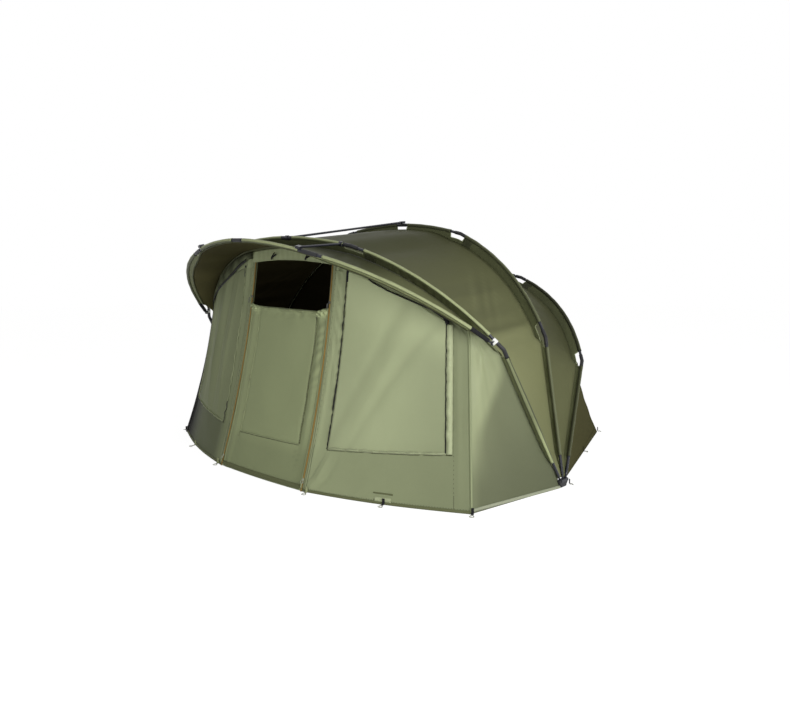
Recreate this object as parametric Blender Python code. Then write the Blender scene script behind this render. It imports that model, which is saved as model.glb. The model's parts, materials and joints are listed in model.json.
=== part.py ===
# Bivvy tent: four folding ribs on two ground hubs, with canopy, front wall, door and window covers.
# Metres and degrees. +X is the right-hand side seen from the door, the door faces -Y, +Z is up.
import math

import bmesh
import bpy
from mathutils import Matrix, Vector

for old in list(bpy.data.objects):
    bpy.data.objects.remove(old, do_unlink=True)

# Poles and the plastic joints between them
pole_radius = 0.0095
joint_radius = 0.0125
joint_reach = 0.050
fit_gap = 0.0004
butt_gap = 0.0003
pole_sides = 10
side_pole_steps = 7

# Hubs on the ground, one at each side
hub_half_span = 1.550
pin_height = 0.045
pin_spacing = 0.030
pin_radius = 0.0050
pin_bore = 0.0053
eye_radius = 0.0130
eye_width = 0.0180
neck_radius = 0.0060
neck_length = 0.022
shoulder_length = 0.010
eye_wall_to_neck = 0.0022
hub_side_play = 0.0006
hub_cheek = 0.0040
hub_floor = 0.0050
hub_cheek_above_pin = 0.011
hub_end_margin = 0.020
pin_plate_thickness = 0.0030
pin_plate_half_height = 0.008

# Front rib, which leans forward
front_tilt = 30.1
front_leg_lean = 0.098
front_elbow_r = 1.003
front_shoulder_share = 0.362
front_shoulder_r = 1.678
front_crown_rise = 0.058

# Centre rib, the highest
centre_tilt = -7.7
centre_leg_lean = 0.226
centre_elbow_r = 0.877
centre_shoulder_share = 0.360
centre_shoulder_r = 1.544
centre_crown_rise = 0.068

# Rear rib, which leans back
rear_tilt = -38.8
rear_leg_lean = 0.209
rear_elbow_r = 0.857
rear_shoulder_share = 0.356
rear_shoulder_r = 1.534
rear_crown_rise = 0.064

# Hood pole, hinged on the front rib above its elbows
hood_tilt = 50.6
hood_pivot_above_elbow = 0.072
hood_pivot_forward = 0.026
hood_shoulder_share = 0.362
hood_shoulder_r = 0.799
hood_crown_rise = 0.118
hood_pin_radius = 0.0040
hood_pin_bore = 0.0043
hood_eye_radius = 0.0120
hood_eye_width = 0.0120
hood_neck_radius = 0.0054
clip_collar_radius = 0.0135
clip_collar_length = 0.030
clip_arm_play = 0.0006
clip_arm_thickness = 0.0054
clip_arm_half_width = 0.007
bare_hood_end = 0.160

# How far the poles bow out between elbow and shoulder, as a share of that span
side_bow_share = 0.092
hood_bow_share = 0.105
crown_x_shares = (0.76, 0.50, 0.25, 0.12)

# Tension bars
bar_radius = 0.0075
bar_ring_radius = 0.0160
bar_ring_width = 0.024
bar_seat_from_shoulder = 0.078
bar_foot_length = 0.034
bar_foot_width = 0.030
bar_foot_thickness = 0.016
bar_rest_gap = 0.0005
centre_sleeve_radius = 0.0120
centre_sleeve_half = 0.040

# Cloth
cloth = 0.0020
seam_gap = 0.0004
search_tolerance = 0.0001
hood_fin = 0.062
front_fin = 0.086
rib_fin = 0.074
leg_fin_share = 0.60
notch_reach = 0.062
front_shoulder_notch = 0.102
front_elbow_notch = 0.100
centre_notch = 0.052
hood_seam_inset = 0.058
wall_seam_inset = 0.076
side_seam_share = 0.75
rib_seam_above_root = 0.010
leg_cloth_start = 0.075
notch_depth_share = 0.55
butt_share = 0.7
roof_sag = 0.022
hood_sag = 0.018
rear_sag = 0.035
roof_steps = 5
rear_steps = 6
side_steps = 4

# Ground outline, from the line between the hubs
front_reach = 1.190
zip_foot_x = 0.414
zip_foot_y = 1.175
front_corner_inset = 0.110
front_corner_y = 0.790
front_outline_bulge = 0.040
rear_corner_share = 0.658
rear_corner_y = 1.430
rear_reach = 1.600
side_hem_end_inset = 0.050
side_hem_end_y = 0.090
rear_hem_height = 0.045
hem_lift = 0.0008
hem_gap = 0.0009

# Front wall, door and windows
zip_top_x = 0.385
zip_top_z = 1.379
door_height = 1.110
door_lift = 0.004
door_gap = 0.0006
door_cloth = 0.0025
wall_start_above_elbow = 0.125
wall_hem_height = 0.090
sill_height = 0.300
window_from_share = 0.145
window_to_share = 0.880
window_top_share = 0.925
window_columns = 4
window_rows = 4
crease_share = 0.990
side_top_below_wall = 0.050
cover_margin = 0.018
cover_clearance = 0.0008
cover_hinge_out = 0.004

# Zip sliders
slider_width = 0.012
slider_length = 0.024
slider_depth = 0.006
slider_tab_length = 0.034
slider_tab_depth = 0.0024
slider_tab_width = 0.008
slider_tab_overlap = 0.004
lower_slider_height = 0.058
upper_slider_height = 1.135

# Places that follow the hubs
front_corner_x = hub_half_span - front_corner_inset
side_hem_end_x = hub_half_span - side_hem_end_inset
rear_corner_x = hub_half_span * rear_corner_share

# Colours, roughness and metal share
finishes = {
    "cloth": ((0.205, 0.235, 0.130), 0.62, 0.0),
    "roof_cloth": ((0.085, 0.095, 0.045), 0.55, 0.0),
    "pole": ((0.018, 0.019, 0.026), 0.32, 0.8),
    "plastic": ((0.012, 0.012, 0.014), 0.45, 0.0),
    "pale_clip": ((0.55, 0.56, 0.53), 0.40, 0.0),
    "webbing": ((0.27, 0.29, 0.15), 0.75, 0.0),
    "zip": ((0.27, 0.17, 0.06), 0.40, 0.3),
}


def finish(name):
    if name in bpy.data.materials:
        return bpy.data.materials[name]
    colour, roughness, metal = finishes[name]
    made = bpy.data.materials.new(name)
    made.use_nodes = True
    shader = made.node_tree.nodes["Principled BSDF"]
    shader.inputs["Base Color"].default_value = (*colour, 1)
    shader.inputs["Roughness"].default_value = roughness
    shader.inputs["Metallic"].default_value = metal
    return made


def close_mesh(name, maker, material, smooth_angle=35.0):
    """A mesh object from a bmesh, with its faces turned outwards."""
    bmesh.ops.recalc_face_normals(maker, faces=maker.faces)
    mesh = bpy.data.meshes.new(name)
    maker.to_mesh(mesh)
    maker.free()
    made = bpy.data.objects.new(name, mesh)
    bpy.context.scene.collection.objects.link(made)
    mesh.materials.append(finish(material))
    mesh.shade_smooth()
    mesh.set_sharp_from_angle(angle=math.radians(smooth_angle))
    return made


def hide(helper):
    helper.hide_render = True
    helper.display_type = "WIRE"
    return helper


def combine(made, helper, operation):
    """Cuts the helper out of a piece, or joins it on."""
    step = made.modifiers.new(operation.lower(), "BOOLEAN")
    step.operation = operation
    step.object = hide(helper)
    return made


def set_origin(made, pivot):
    """Puts the object's origin on its joint's axis, with its shape where it was."""
    made.data.transform(Matrix.Translation(-pivot))
    made.location = pivot


# Ribs: each is a flat outline in its own leaning plane


class Rib:
    """x is the distance from the middle, r the distance from the foot line, s the length along it."""

    def __init__(self, tilt, foot, elbow, shoulder, crown_r, bow_share):
        self.tilt = math.radians(tilt)
        self.foot = foot
        self.nodes = []
        self.nodes.append((foot[0], 0.0))
        if elbow:
            self.nodes.append(elbow)
        side_start = elbow or (foot[0], 0.0)
        run_x = shoulder[0] - side_start[0]
        run_r = shoulder[1] - side_start[1]
        for step in range(1, side_pole_steps + 1):
            share = step / side_pole_steps
            bow = bow_share * 4 * share * (1 - share)
            self.nodes.append(
                (
                    side_start[0] + run_x * share + run_r * bow,
                    side_start[1] + run_r * share - run_x * bow,
                )
            )
        drop = (crown_r - shoulder[1]) / shoulder[0] ** 2
        for share in crown_x_shares:
            x = shoulder[0] * share
            self.nodes.append((x, crown_r - drop * x * x))
        self.nodes.append((0.0, self.nodes[-1][1]))
        self.lengths = [0.0]
        for (x0, r0), (x1, r1) in zip(self.nodes, self.nodes[1:]):
            self.lengths.append(self.lengths[-1] + math.hypot(x1 - x0, r1 - r0))
        self.elbow_s = self.lengths[1] if elbow else 0.0
        self.shoulder_s = self.lengths[(1 if elbow else 0) + side_pole_steps]
        self.end_s = self.lengths[-1]

    def segment(self, s):
        """Number of the straight run that holds s, and the share of it already passed."""
        for number in range(len(self.lengths) - 1):
            if s <= self.lengths[number + 1] or number == len(self.lengths) - 2:
                whole = self.lengths[number + 1] - self.lengths[number]
                return number, (s - self.lengths[number]) / whole

    def direction(self, number):
        (x0, r0), (x1, r1) = self.nodes[number], self.nodes[number + 1]
        length = math.hypot(x1 - x0, r1 - r0)
        return (x1 - x0) / length, (r1 - r0) / length

    def inset(self, s, depth):
        """The point at s, moved towards the inside by depth, with mitred corners."""
        number, share = self.segment(s)
        (x0, r0), (x1, r1) = self.nodes[number], self.nodes[number + 1]
        x = x0 + (x1 - x0) * share
        r = r0 + (r1 - r0) * share
        ahead = self.direction(number)
        normal = (-ahead[1], ahead[0])
        scale = 1.0
        at_node = math.isclose(share, 1.0) and number + 1 < len(self.nodes) - 1
        if at_node:
            after = self.direction(number + 1)
            other = (-after[1], after[0])
            total = (normal[0] + other[0], normal[1] + other[1])
            length = math.hypot(*total)
            total = (total[0] / length, total[1] / length)
            scale = 1 / (total[0] * normal[0] + total[1] * normal[1])
            normal = total
        return x + normal[0] * depth * scale, r + normal[1] * depth * scale

    def point(self, s, depth=0.0, forward=0.0, side=1):
        """The point at s in space: inset by depth and moved forward off the rib's plane."""
        x, r = self.inset(s, depth)
        up = Vector((0, -math.sin(self.tilt), math.cos(self.tilt)))
        ahead = Vector((0, -math.cos(self.tilt), -math.sin(self.tilt)))
        base = Vector((side * x, hub_y + self.foot[1], self.foot[2]))
        return base + up * r + ahead * forward

    def stations(self, start, end):
        """Lengths along the rib at its corners between two places, and at these."""
        inner = [s for s in self.lengths if start + fit_gap < s < end - fit_gap]
        return [start, *inner, end]

    def across(self):
        """Unit vector square to the rib's plane."""
        return Vector((0, -math.cos(self.tilt), -math.sin(self.tilt)))


front_foot = (hub_half_span, -pin_spacing, pin_height)
centre_foot = (hub_half_span, 0.0, pin_height)
rear_foot = (hub_half_span, pin_spacing, pin_height)
hub_y = 0.0
front = Rib(
    front_tilt,
    front_foot,
    (hub_half_span - front_leg_lean, front_elbow_r),
    (hub_half_span * front_shoulder_share, front_shoulder_r),
    front_shoulder_r + front_crown_rise,
    side_bow_share,
)
centre = Rib(
    centre_tilt,
    centre_foot,
    (hub_half_span - centre_leg_lean, centre_elbow_r),
    (hub_half_span * centre_shoulder_share, centre_shoulder_r),
    centre_shoulder_r + centre_crown_rise,
    side_bow_share,
)
rear = Rib(
    rear_tilt,
    rear_foot,
    (hub_half_span - rear_leg_lean, rear_elbow_r),
    (hub_half_span * rear_shoulder_share, rear_shoulder_r),
    rear_shoulder_r + rear_crown_rise,
    side_bow_share,
)
hood_pivot_s = front.elbow_s + hood_pivot_above_elbow
hood_foot = front.point(hood_pivot_s, forward=hood_pivot_forward)
hood = Rib(
    hood_tilt,
    tuple(hood_foot),
    None,
    (hub_half_span * hood_shoulder_share, hood_shoulder_r),
    hood_shoulder_r + hood_crown_rise,
    hood_bow_share,
)

# The hub line is set back so that the whole tent stands centred on the origin
hood_front_y = hood.point(hood.end_s).y - joint_radius
hub_y = (-hood_front_y - rear_reach) / 2


# Poles and joints


def tube_rings(maker, points, flat, radii, sides):
    """Joins rings of points along a path with mitred corners. flat is square to the path's plane."""
    rings = []
    for number, (point, radius) in enumerate(zip(points, radii)):
        back = (point - points[number - 1]).normalized() if number else None
        ahead = (points[number + 1] - point).normalized() if number + 1 < len(points) else None
        if back is None:
            back = ahead
        if ahead is None:
            ahead = back
        along = (back + ahead).normalized()
        side = flat.cross(along).normalized()
        stretch = 1 / max(along.dot(ahead), 0.5)
        ring = []
        for step in range(sides):
            angle = math.tau * (step + 0.5) / sides
            spoke = flat * math.cos(angle) + side * math.sin(angle) * stretch
            ring.append(maker.verts.new(point + spoke * radius))
        rings.append(ring)
    for first, second in zip(rings, rings[1:]):
        for step in range(sides):
            after = (step + 1) % sides
            maker.faces.new((first[step], first[after], second[after], second[step]))
    maker.faces.new(rings[0][::-1])
    maker.faces.new(rings[-1])


def tube(name, points, flat, radii, material, sides=pole_sides):
    maker = bmesh.new()
    if not isinstance(radii, (list, tuple)):
        radii = [radii] * len(points)
    tube_rings(maker, points, flat, radii, sides)
    return close_mesh(name, maker, material)


def ring(name, centre_point, axis, outer, bore, width, material, steps=20):
    """A short pipe on an axis."""
    maker = bmesh.new()
    turn = axis.to_track_quat("Z", "X").to_matrix()
    circles = []
    for radius, height in ((outer, -width), (outer, width), (bore, width), (bore, -width)):
        circle = []
        for step in range(steps):
            angle = math.tau * (step + 0.5) / steps
            offset = Vector((radius * math.cos(angle), radius * math.sin(angle), height / 2))
            circle.append(maker.verts.new(centre_point + turn @ offset))
        circles.append(circle)
    for first, second in zip(circles, circles[1:] + circles[:1]):
        for step in range(steps):
            after = (step + 1) % steps
            maker.faces.new((first[step], first[after], second[after], second[step]))
    return close_mesh(name, maker, material)


def rod(name, centre_point, axis, radius, length, material, steps=20):
    """A plain round pin on an axis."""
    maker = bmesh.new()
    turn = axis.to_track_quat("Z", "X").to_matrix().to_4x4()
    place = Matrix.Translation(centre_point) @ turn
    place = place @ Matrix.Rotation(math.tau / steps / 2, 4, "Z")
    bmesh.ops.create_cone(
        maker,
        cap_ends=True,
        segments=steps,
        radius1=radius,
        radius2=radius,
        depth=length,
        matrix=place,
    )
    return close_mesh(name, maker, material)


def block(name, centre_point, along, up, sizes, material):
    """A box whose sides run along, across and up."""
    maker = bmesh.new()
    across = up.cross(along).normalized()
    lift = along.cross(across).normalized()
    frame = Matrix((along.normalized(), across, lift)).transposed().to_4x4()
    place = Matrix.Translation(centre_point) @ frame @ Matrix.Diagonal((*sizes, 1))
    bmesh.ops.create_cube(maker, size=1.0, matrix=place)
    return close_mesh(name, maker, material)


across_x = Vector((1, 0, 0))
side_names = {1: "right", -1: "left"}


def rib_points(rib, start, end, side):
    return [rib.point(s, side=side) for s in rib.stations(start, end)]


def leg_with_eye(name, rib, side, eye_outer, bore, width, neck, end_s):
    """A pole whose lower end narrows to an eye round a pin."""
    first = bore + eye_wall_to_neck
    marks = [first, first + neck_length, first + neck_length + shoulder_length]
    places = marks[:-1] + rib.stations(marks[-1], end_s)
    points = [rib.point(s, side=side) for s in places]
    radii = [neck if s < marks[1] + shoulder_length / 2 else pole_radius for s in places]
    leg = tube(name, points, rib.across(), radii, "pole")
    eye = ring(name + "_eye", rib.point(0.0, side=side), across_x, eye_outer, bore, width, "plastic")
    return combine(leg, eye, "UNION")


def joint_piece(name, rib, corner_s, side):
    places = [corner_s - joint_reach, corner_s, corner_s + joint_reach]
    points = [rib.point(s, side=side) for s in places]
    return tube(name, points, rib.across(), joint_radius, "plastic")


def rib_frame(label, rib, sleeve):
    """Legs, elbow joints, side poles, shoulder joints and the top pole of one rib."""
    reach = joint_reach + butt_gap
    for side, hand in side_names.items():
        leg_with_eye(
            f"{label}_leg_{hand}",
            rib,
            side,
            eye_radius,
            pin_bore,
            eye_width,
            neck_radius,
            rib.elbow_s - reach,
        )
        joint_piece(f"{label}_elbow_joint_{hand}", rib, rib.elbow_s, side)
        points = rib_points(rib, rib.elbow_s + reach, rib.shoulder_s - reach, side)
        tube(f"{label}_side_pole_{hand}", points, rib.across(), pole_radius, "pole")
        joint_piece(f"{label}_shoulder_joint_{hand}", rib, rib.shoulder_s, side)
    top_pole(f"{label}_top_pole", rib)
    if sleeve:
        centre_sleeve(f"{label}_centre_sleeve", rib)


def top_pole(name, rib):
    right = rib_points(rib, rib.shoulder_s + joint_reach + butt_gap, rib.end_s, 1)[:-1]
    left = [Vector((-point.x, point.y, point.z)) for point in reversed(right)]
    return tube(name, right + left, rib.across(), pole_radius, "pole")


def centre_sleeve(name, rib):
    bore = pole_radius + fit_gap
    length = centre_sleeve_half * 2
    middle = rib.point(rib.end_s)
    return ring(name, middle, across_x, centre_sleeve_radius, bore, length, "plastic")


def hood_frame():
    reach = joint_reach + butt_gap
    for side, hand in side_names.items():
        leg_with_eye(
            f"hood_side_pole_{hand}",
            hood,
            side,
            hood_eye_radius,
            hood_pin_bore,
            hood_eye_width,
            hood_neck_radius,
            hood.shoulder_s - reach,
        )
        joint_piece(f"hood_shoulder_joint_{hand}", hood, hood.shoulder_s, side)
    top_pole("hood_top_pole", hood)
    centre_sleeve("hood_centre_sleeve", hood)


def hood_clip(side, hand):
    """The swivel clip on the front rib: a collar, an arm and the pin that the hood pole turns on."""
    seat = front.point(hood_pivot_s, side=side)
    near = front.point(hood_pivot_s + clip_collar_length, side=side)
    pin_place = front.point(hood_pivot_s, forward=hood_pivot_forward, side=side)
    bore = pole_radius + fit_gap
    name = f"hood_clip_{hand}"
    collar = ring(
        name, seat, near - seat, clip_collar_radius, bore, clip_collar_length, "pale_clip"
    )
    arm_start = hood_eye_width / 2 + clip_arm_play
    arm_end = arm_start + clip_arm_thickness
    arm_middle = (arm_start + arm_end) / 2
    arm_from = bore + fit_gap
    arm_length = hood_pivot_forward + clip_arm_half_width - arm_from
    ahead = front.across()
    arm_place = seat + ahead * (arm_from + arm_length / 2) + across_x * side * arm_middle
    arm = block(
        name + "_arm",
        arm_place,
        ahead,
        across_x,
        (arm_length, clip_arm_half_width * 2, clip_arm_thickness),
        "pale_clip",
    )
    pin_end = arm_end - clip_arm_thickness / 4
    pin_middle = (pin_end - arm_start) / 2
    pin = rod(
        name + "_pin",
        pin_place + across_x * side * pin_middle,
        across_x,
        hood_pin_radius,
        pin_end + arm_start,
        "pale_clip",
    )
    combine(collar, arm, "UNION")
    return combine(collar, pin, "UNION")


# Hubs


def hub(side, hand):
    """A channel on the ground with a pin hole for each rib."""
    inner = eye_width / 2 + hub_side_play
    outer = inner + hub_cheek
    length = 2 * (pin_spacing + hub_end_margin)
    height = pin_height + hub_cheek_above_pin
    middle = Vector((side * hub_half_span, hub_y, 0.0))
    along = Vector((0, 1, 0))
    up = Vector((0, 0, 1))
    name = f"hub_{hand}"
    body = block(
        name, middle + up * (height / 2), along, up, (length, outer * 2, height), "plastic"
    )
    over = hub_cheek
    slot_height = height - hub_floor + over
    slot_middle = middle + up * (hub_floor + slot_height / 2)
    slot = block(
        name + "_slot", slot_middle, along, up, (length + 2 * over, inner * 2, slot_height), "plastic"
    )
    combine(body, slot, "DIFFERENCE")
    for number in (-1, 0, 1):
        place = middle + along * (number * pin_spacing) + up * pin_height
        hole = rod(f"{name}_hole_{number + 1}", place, across_x, pin_bore, outer * 2 + 2 * over, "plastic")
        combine(body, hole, "DIFFERENCE")
    return body


def hub_pins(side, hand):
    """Three pins on one strap, pushed through the hub from outside."""
    outer = eye_width / 2 + hub_side_play + hub_cheek
    up = Vector((0, 0, 1))
    along = Vector((0, 1, 0))
    middle = Vector((side * hub_half_span, hub_y, pin_height))
    name = f"hub_pins_{hand}"
    strap_middle = middle + across_x * side * (outer + fit_gap + pin_plate_thickness / 2)
    strap = block(
        name,
        strap_middle,
        along,
        up,
        (2 * (pin_spacing + pin_plate_half_height), pin_plate_thickness, 2 * pin_plate_half_height),
        "pole",
    )
    for number in (-1, 0, 1):
        end = outer + fit_gap + pin_plate_thickness / 2
        place = middle + along * (number * pin_spacing) + across_x * side * ((end - outer) / 2)
        pin = rod(f"{name}_{number + 1}", place, across_x, pin_radius, end + outer, "pole")
        combine(strap, pin, "UNION")
    return strap


# Tension bars: each turns on a pole by its ring, and its foot rests on the next rib


def tension_bar(name, ring_place, ring_axis, bore, rest_place, rest_axis, rest_radius):
    reach = rest_place - ring_place
    up = rest_axis.cross(reach).normalized()
    if up.z < 0:
        up = -up
    foot_lift = rest_radius + bar_rest_gap + bar_foot_thickness / 2
    foot_place = rest_place + up * foot_lift
    along = (foot_place - ring_place).normalized()
    collar = ring(
        name,
        ring_place,
        ring_axis,
        bar_ring_radius,
        bore,
        bar_ring_width,
        "plastic",
    )
    flat = rest_axis.cross(along).cross(along).normalized()
    start = ring_place + along * (bore + (bar_ring_radius - bore) / 2)
    shaft = tube(name + "_shaft", [start, foot_place], flat, bar_radius, "pole")
    foot_along = up.cross(rest_axis).normalized()
    foot = block(
        name + "_foot",
        foot_place,
        foot_along,
        up,
        (bar_foot_length, bar_foot_width, bar_foot_thickness),
        "plastic",
    )
    combine(collar, shaft, "UNION")
    combine(collar, foot, "UNION")
    set_origin(collar, ring_place)
    return collar


def side_bar(side, hand):
    seat_s = front.shoulder_s + bar_seat_from_shoulder
    rest_s = hood.shoulder_s + bar_seat_from_shoulder
    step = bar_ring_width / 2
    seat = front.point(seat_s, side=side)
    seat_axis = (front.point(seat_s + step, side=side) - seat).normalized()
    rest = hood.point(rest_s, side=side)
    rest_axis = (hood.point(rest_s + step, side=side) - rest).normalized()
    bore = pole_radius + fit_gap
    bar = tension_bar(
        f"hood_bar_{hand}", seat, seat_axis, bore, rest, rest_axis, pole_radius
    )
    print("joint", bar.name, tuple(seat), tuple(seat_axis * side))
    return bar


def ridge_bar():
    seat = front.point(front.end_s)
    rest = centre.point(centre.end_s)
    bore = centre_sleeve_radius + fit_gap
    bar = tension_bar(
        "ridge_bar", seat, across_x, bore, rest, across_x, centre_sleeve_radius
    )
    print("joint", bar.name, tuple(seat), tuple(across_x))
    return bar


# Cloth panels


def sheet(name, rows, material, thickness=cloth, left_out=()):
    """A panel of cloth through rows of points, with the numbered squares left open."""
    maker = bmesh.new()
    grid = [[maker.verts.new(point) for point in row] for row in rows]
    for row in range(len(grid) - 1):
        for column in range(len(grid[0]) - 1):
            if (row, column) in left_out:
                continue
            maker.faces.new(
                (
                    grid[row][column],
                    grid[row][column + 1],
                    grid[row + 1][column + 1],
                    grid[row + 1][column],
                )
            )
    loose = [vert for vert in maker.verts if not vert.link_faces]
    bmesh.ops.delete(maker, geom=loose, context="VERTS")
    made = close_mesh(name, maker, material, smooth_angle=50.0)
    wall = made.modifiers.new("thickness", "SOLIDIFY")
    wall.thickness = thickness
    wall.offset = 0.0
    wall.use_even_offset = True
    wall.use_quality_normals = True
    return made


def mirrored(columns):
    """Columns of points for the right half, the last at the middle, with the left half added."""
    left = [[Vector((-p.x, p.y, p.z)) for p in column] for column in reversed(columns[:-1])]
    return columns + left


def rows_of(columns):
    return [list(row) for row in zip(*columns)]


def both_halves(numbers, count):
    """Square numbers of the right half, and their mirror images among count squares."""
    return set(numbers) | {count - 1 - number for number in numbers}


butt = cloth / 2 + cloth / 2 * butt_share + seam_gap
edge_inset = pole_radius + seam_gap


def rib_columns(rib, elbow_notch, shoulder_notch):
    """Where the cloth's columns lie along a rib, and which squares its fin leaves open."""
    leg_end = rib.elbow_s - notch_reach
    marks = [
        leg_cloth_start,
        (leg_cloth_start + leg_end) / 2,
        leg_end,
        rib.elbow_s,
        rib.elbow_s + elbow_notch,
    ]
    first_side = len(marks)
    marks += rib.lengths[2 : 1 + side_pole_steps]
    shoulder_first = len(marks)
    marks += [rib.shoulder_s - notch_reach, rib.shoulder_s, rib.shoulder_s + shoulder_notch]
    marks += rib.lengths[2 + side_pole_steps : -1]
    marks += [rib.end_s - centre_notch, rib.end_s]
    open_squares = [first_side - 3, first_side - 2]
    open_squares += [shoulder_first, shoulder_first + 1, len(marks) - 2]
    return marks, open_squares


def fin_depth(rib, full, s):
    """The fin is lower along the leg than along the arch."""
    low = full * leg_fin_share
    if s < rib.elbow_s - notch_reach / 2:
        return low
    if s < rib.elbow_s + notch_reach / 2:
        return (low + full) / 2
    return full


def inward(rib, s, side=1):
    return (rib.point(s, depth=cloth, side=side) - rib.point(s, side=side)).normalized()


def gore(name, first, second, first_fin, first_notches, second_notches, material):
    """The panel between two ribs, with the fin that holds the first rib's poles."""
    marks, open_squares = rib_columns(first, *first_notches)
    other_marks, unused = rib_columns(second, *second_notches)
    widest = (first.point(first.end_s) - second.point(second.end_s)).length
    columns = []
    for s, t in zip(marks, other_marks):
        depth = fin_depth(first, first_fin, s)
        root = first.point(s, depth=depth)
        seam_depth = fin_depth(second, rib_fin, t) - rib_seam_above_root
        seam = second.point(t, depth=seam_depth, forward=butt)
        sink = (inward(first, s) + inward(second, t)).normalized()
        width = (seam - root).length
        column = [
            first.point(s, depth=edge_inset),
            first.point(s, depth=depth * notch_depth_share),
        ]
        for step in range(roof_steps + 1):
            share = step / roof_steps
            dip = roof_sag * width / widest * 4 * share * (1 - share)
            column.append(root.lerp(seam, share) + sink * dip)
        columns.append(column)
    count = 2 * (len(marks) - 1)
    left_out = {(0, number) for number in both_halves(open_squares, count)}
    return sheet(name, rows_of(mirrored(columns)), material, left_out=left_out)


def rear_ground(s):
    """The ground point below a place on the rear rib."""
    if s <= rear.elbow_s:
        share = (s - leg_cloth_start) / (rear.elbow_s - leg_cloth_start)
        x = side_hem_end_x + (rear_corner_x - side_hem_end_x) * share
        y = side_hem_end_y + (rear_corner_y - side_hem_end_y) * share
    else:
        share = (s - rear.elbow_s) / (rear.end_s - rear.elbow_s)
        x = rear_corner_x * (1 - share)
        y = rear_corner_y + (rear_reach - rear_corner_y) * (1 - (1 - share) ** 2)
    return Vector((x, hub_y + y, 0.0))


def rear_line(s, height):
    """A point at a height on the straight line from the rear rib down to the ground."""
    root = rear.point(s, depth=fin_depth(rear, rib_fin, s))
    ground = rear_ground(s)
    return ground.lerp(root, height / root.z)


def rear_wall():
    marks, open_squares = rib_columns(rear, notch_reach, notch_reach)
    columns = []
    for s in marks:
        depth = fin_depth(rear, rib_fin, s)
        root = rear.point(s, depth=depth)
        foot = rear_line(s, rear_hem_height + hem_gap)
        sink = (Vector((0, hub_y, 0)) - foot).normalized()
        column = [
            rear.point(s, depth=edge_inset),
            rear.point(s, depth=depth * notch_depth_share),
        ]
        for step in range(rear_steps + 1):
            share = step / rear_steps
            dip = rear_sag * (root.z - foot.z) / (rear_shoulder_r + rear_crown_rise) * 4 * share * (1 - share)
            column.append(root.lerp(foot, share) + sink * dip)
        columns.append(column)
    count = 2 * (len(marks) - 1)
    left_out = {(0, number) for number in both_halves(open_squares, count)}
    return sheet("rear_wall", rows_of(mirrored(columns)), "roof_cloth", left_out=left_out)


def rear_hem():
    marks, unused = rib_columns(rear, notch_reach, notch_reach)
    columns = [[rear_line(s, hem_lift), rear_line(s, rear_hem_height)] for s in marks]
    return sheet("rear_hem", rows_of(mirrored(columns)), "webbing")


def hood_cloth():
    """The hood's cloth, from its own pole back to the front rib."""
    marks = [bare_hood_end, *hood.lengths[1:side_pole_steps]]
    shoulder_first = len(marks)
    marks += [hood.shoulder_s - notch_reach, hood.shoulder_s, hood.shoulder_s + front_shoulder_notch]
    marks += hood.lengths[1 + side_pole_steps : -1]
    marks += [hood.end_s - centre_notch, hood.end_s]
    open_squares = [shoulder_first, shoulder_first + 1, len(marks) - 2]
    wall_start = front.elbow_s + wall_start_above_elbow
    columns = []
    for s in marks:
        share_up = (s - bare_hood_end) / (hood.end_s - bare_hood_end)
        t = wall_start + (front.end_s - wall_start) * share_up
        root = hood.point(s, depth=hood_fin)
        seam = front.point(t, depth=hood_seam_inset, forward=butt)
        sink = (inward(hood, s) + inward(front, t)).normalized()
        column = [
            hood.point(s, depth=edge_inset),
            hood.point(s, depth=hood_fin * notch_depth_share),
        ]
        for step in range(roof_steps + 1):
            share = step / roof_steps
            dip = hood_sag * 4 * share * (1 - share) * min(1.0, share_up * 2)
            column.append(root.lerp(seam, share) + sink * dip)
        columns.append(column)
    count = 2 * (len(marks) - 1)
    left_out = {(0, number) for number in both_halves(open_squares, count)}
    return sheet("hood_cloth", rows_of(mirrored(columns)), "roof_cloth", left_out=left_out)


# Front wall


def length_at_x(rib, x, depth):
    """The length along a rib at which its inset outline is x from the middle."""
    low = rib.elbow_s
    high = rib.end_s
    while high - low > search_tolerance:
        half = (low + high) / 2
        if rib.inset(half, depth)[0] > x:
            low = half
        else:
            high = half
    return (low + high) / 2


wall_top_s = front.elbow_s + wall_start_above_elbow
wall_corner_top_x = front.inset(wall_top_s, wall_seam_inset)[0]


def wall_foot(share, door):
    """A ground point of the front wall: across the door, or from its zip out to the corner."""
    if door:
        y = front_reach + (zip_foot_y - front_reach) * share * share
        return Vector((zip_foot_x * share, hub_y - y, 0.0))
    x = zip_foot_x + (front_corner_x - zip_foot_x) * share
    y = zip_foot_y + (front_corner_y - zip_foot_y) * share
    bulge = front_outline_bulge * math.sin(math.pi * share)
    return Vector((x, hub_y - y - bulge, 0.0))


def wall_head(share, door):
    """The wall's seam on the front rib, above the ground point of the same share."""
    if door:
        x = zip_top_x * share
    else:
        x = zip_top_x + (wall_corner_top_x - zip_top_x) * share
    s = length_at_x(front, x, wall_seam_inset)
    return front.point(s, depth=wall_seam_inset, forward=butt)


def wall_point(share, door, height, side=1):
    foot = wall_foot(share, door)
    head = wall_head(share, door)
    point = foot.lerp(head, height / head.z)
    return Vector((side * point.x, point.y, point.z))


def wall_out(share, door, height, side=1):
    """Unit vector out of the wall's face."""
    step = cover_margin
    near = wall_point(share, door, height)
    above = wall_point(share, door, height + step)
    beside = wall_point(share + (-step if share > 0.5 else step), door, height)
    out = (above - near).cross(beside - near).normalized()
    if out.y > 0:
        out = -out
    return Vector((side * out.x, out.y, out.z))


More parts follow.
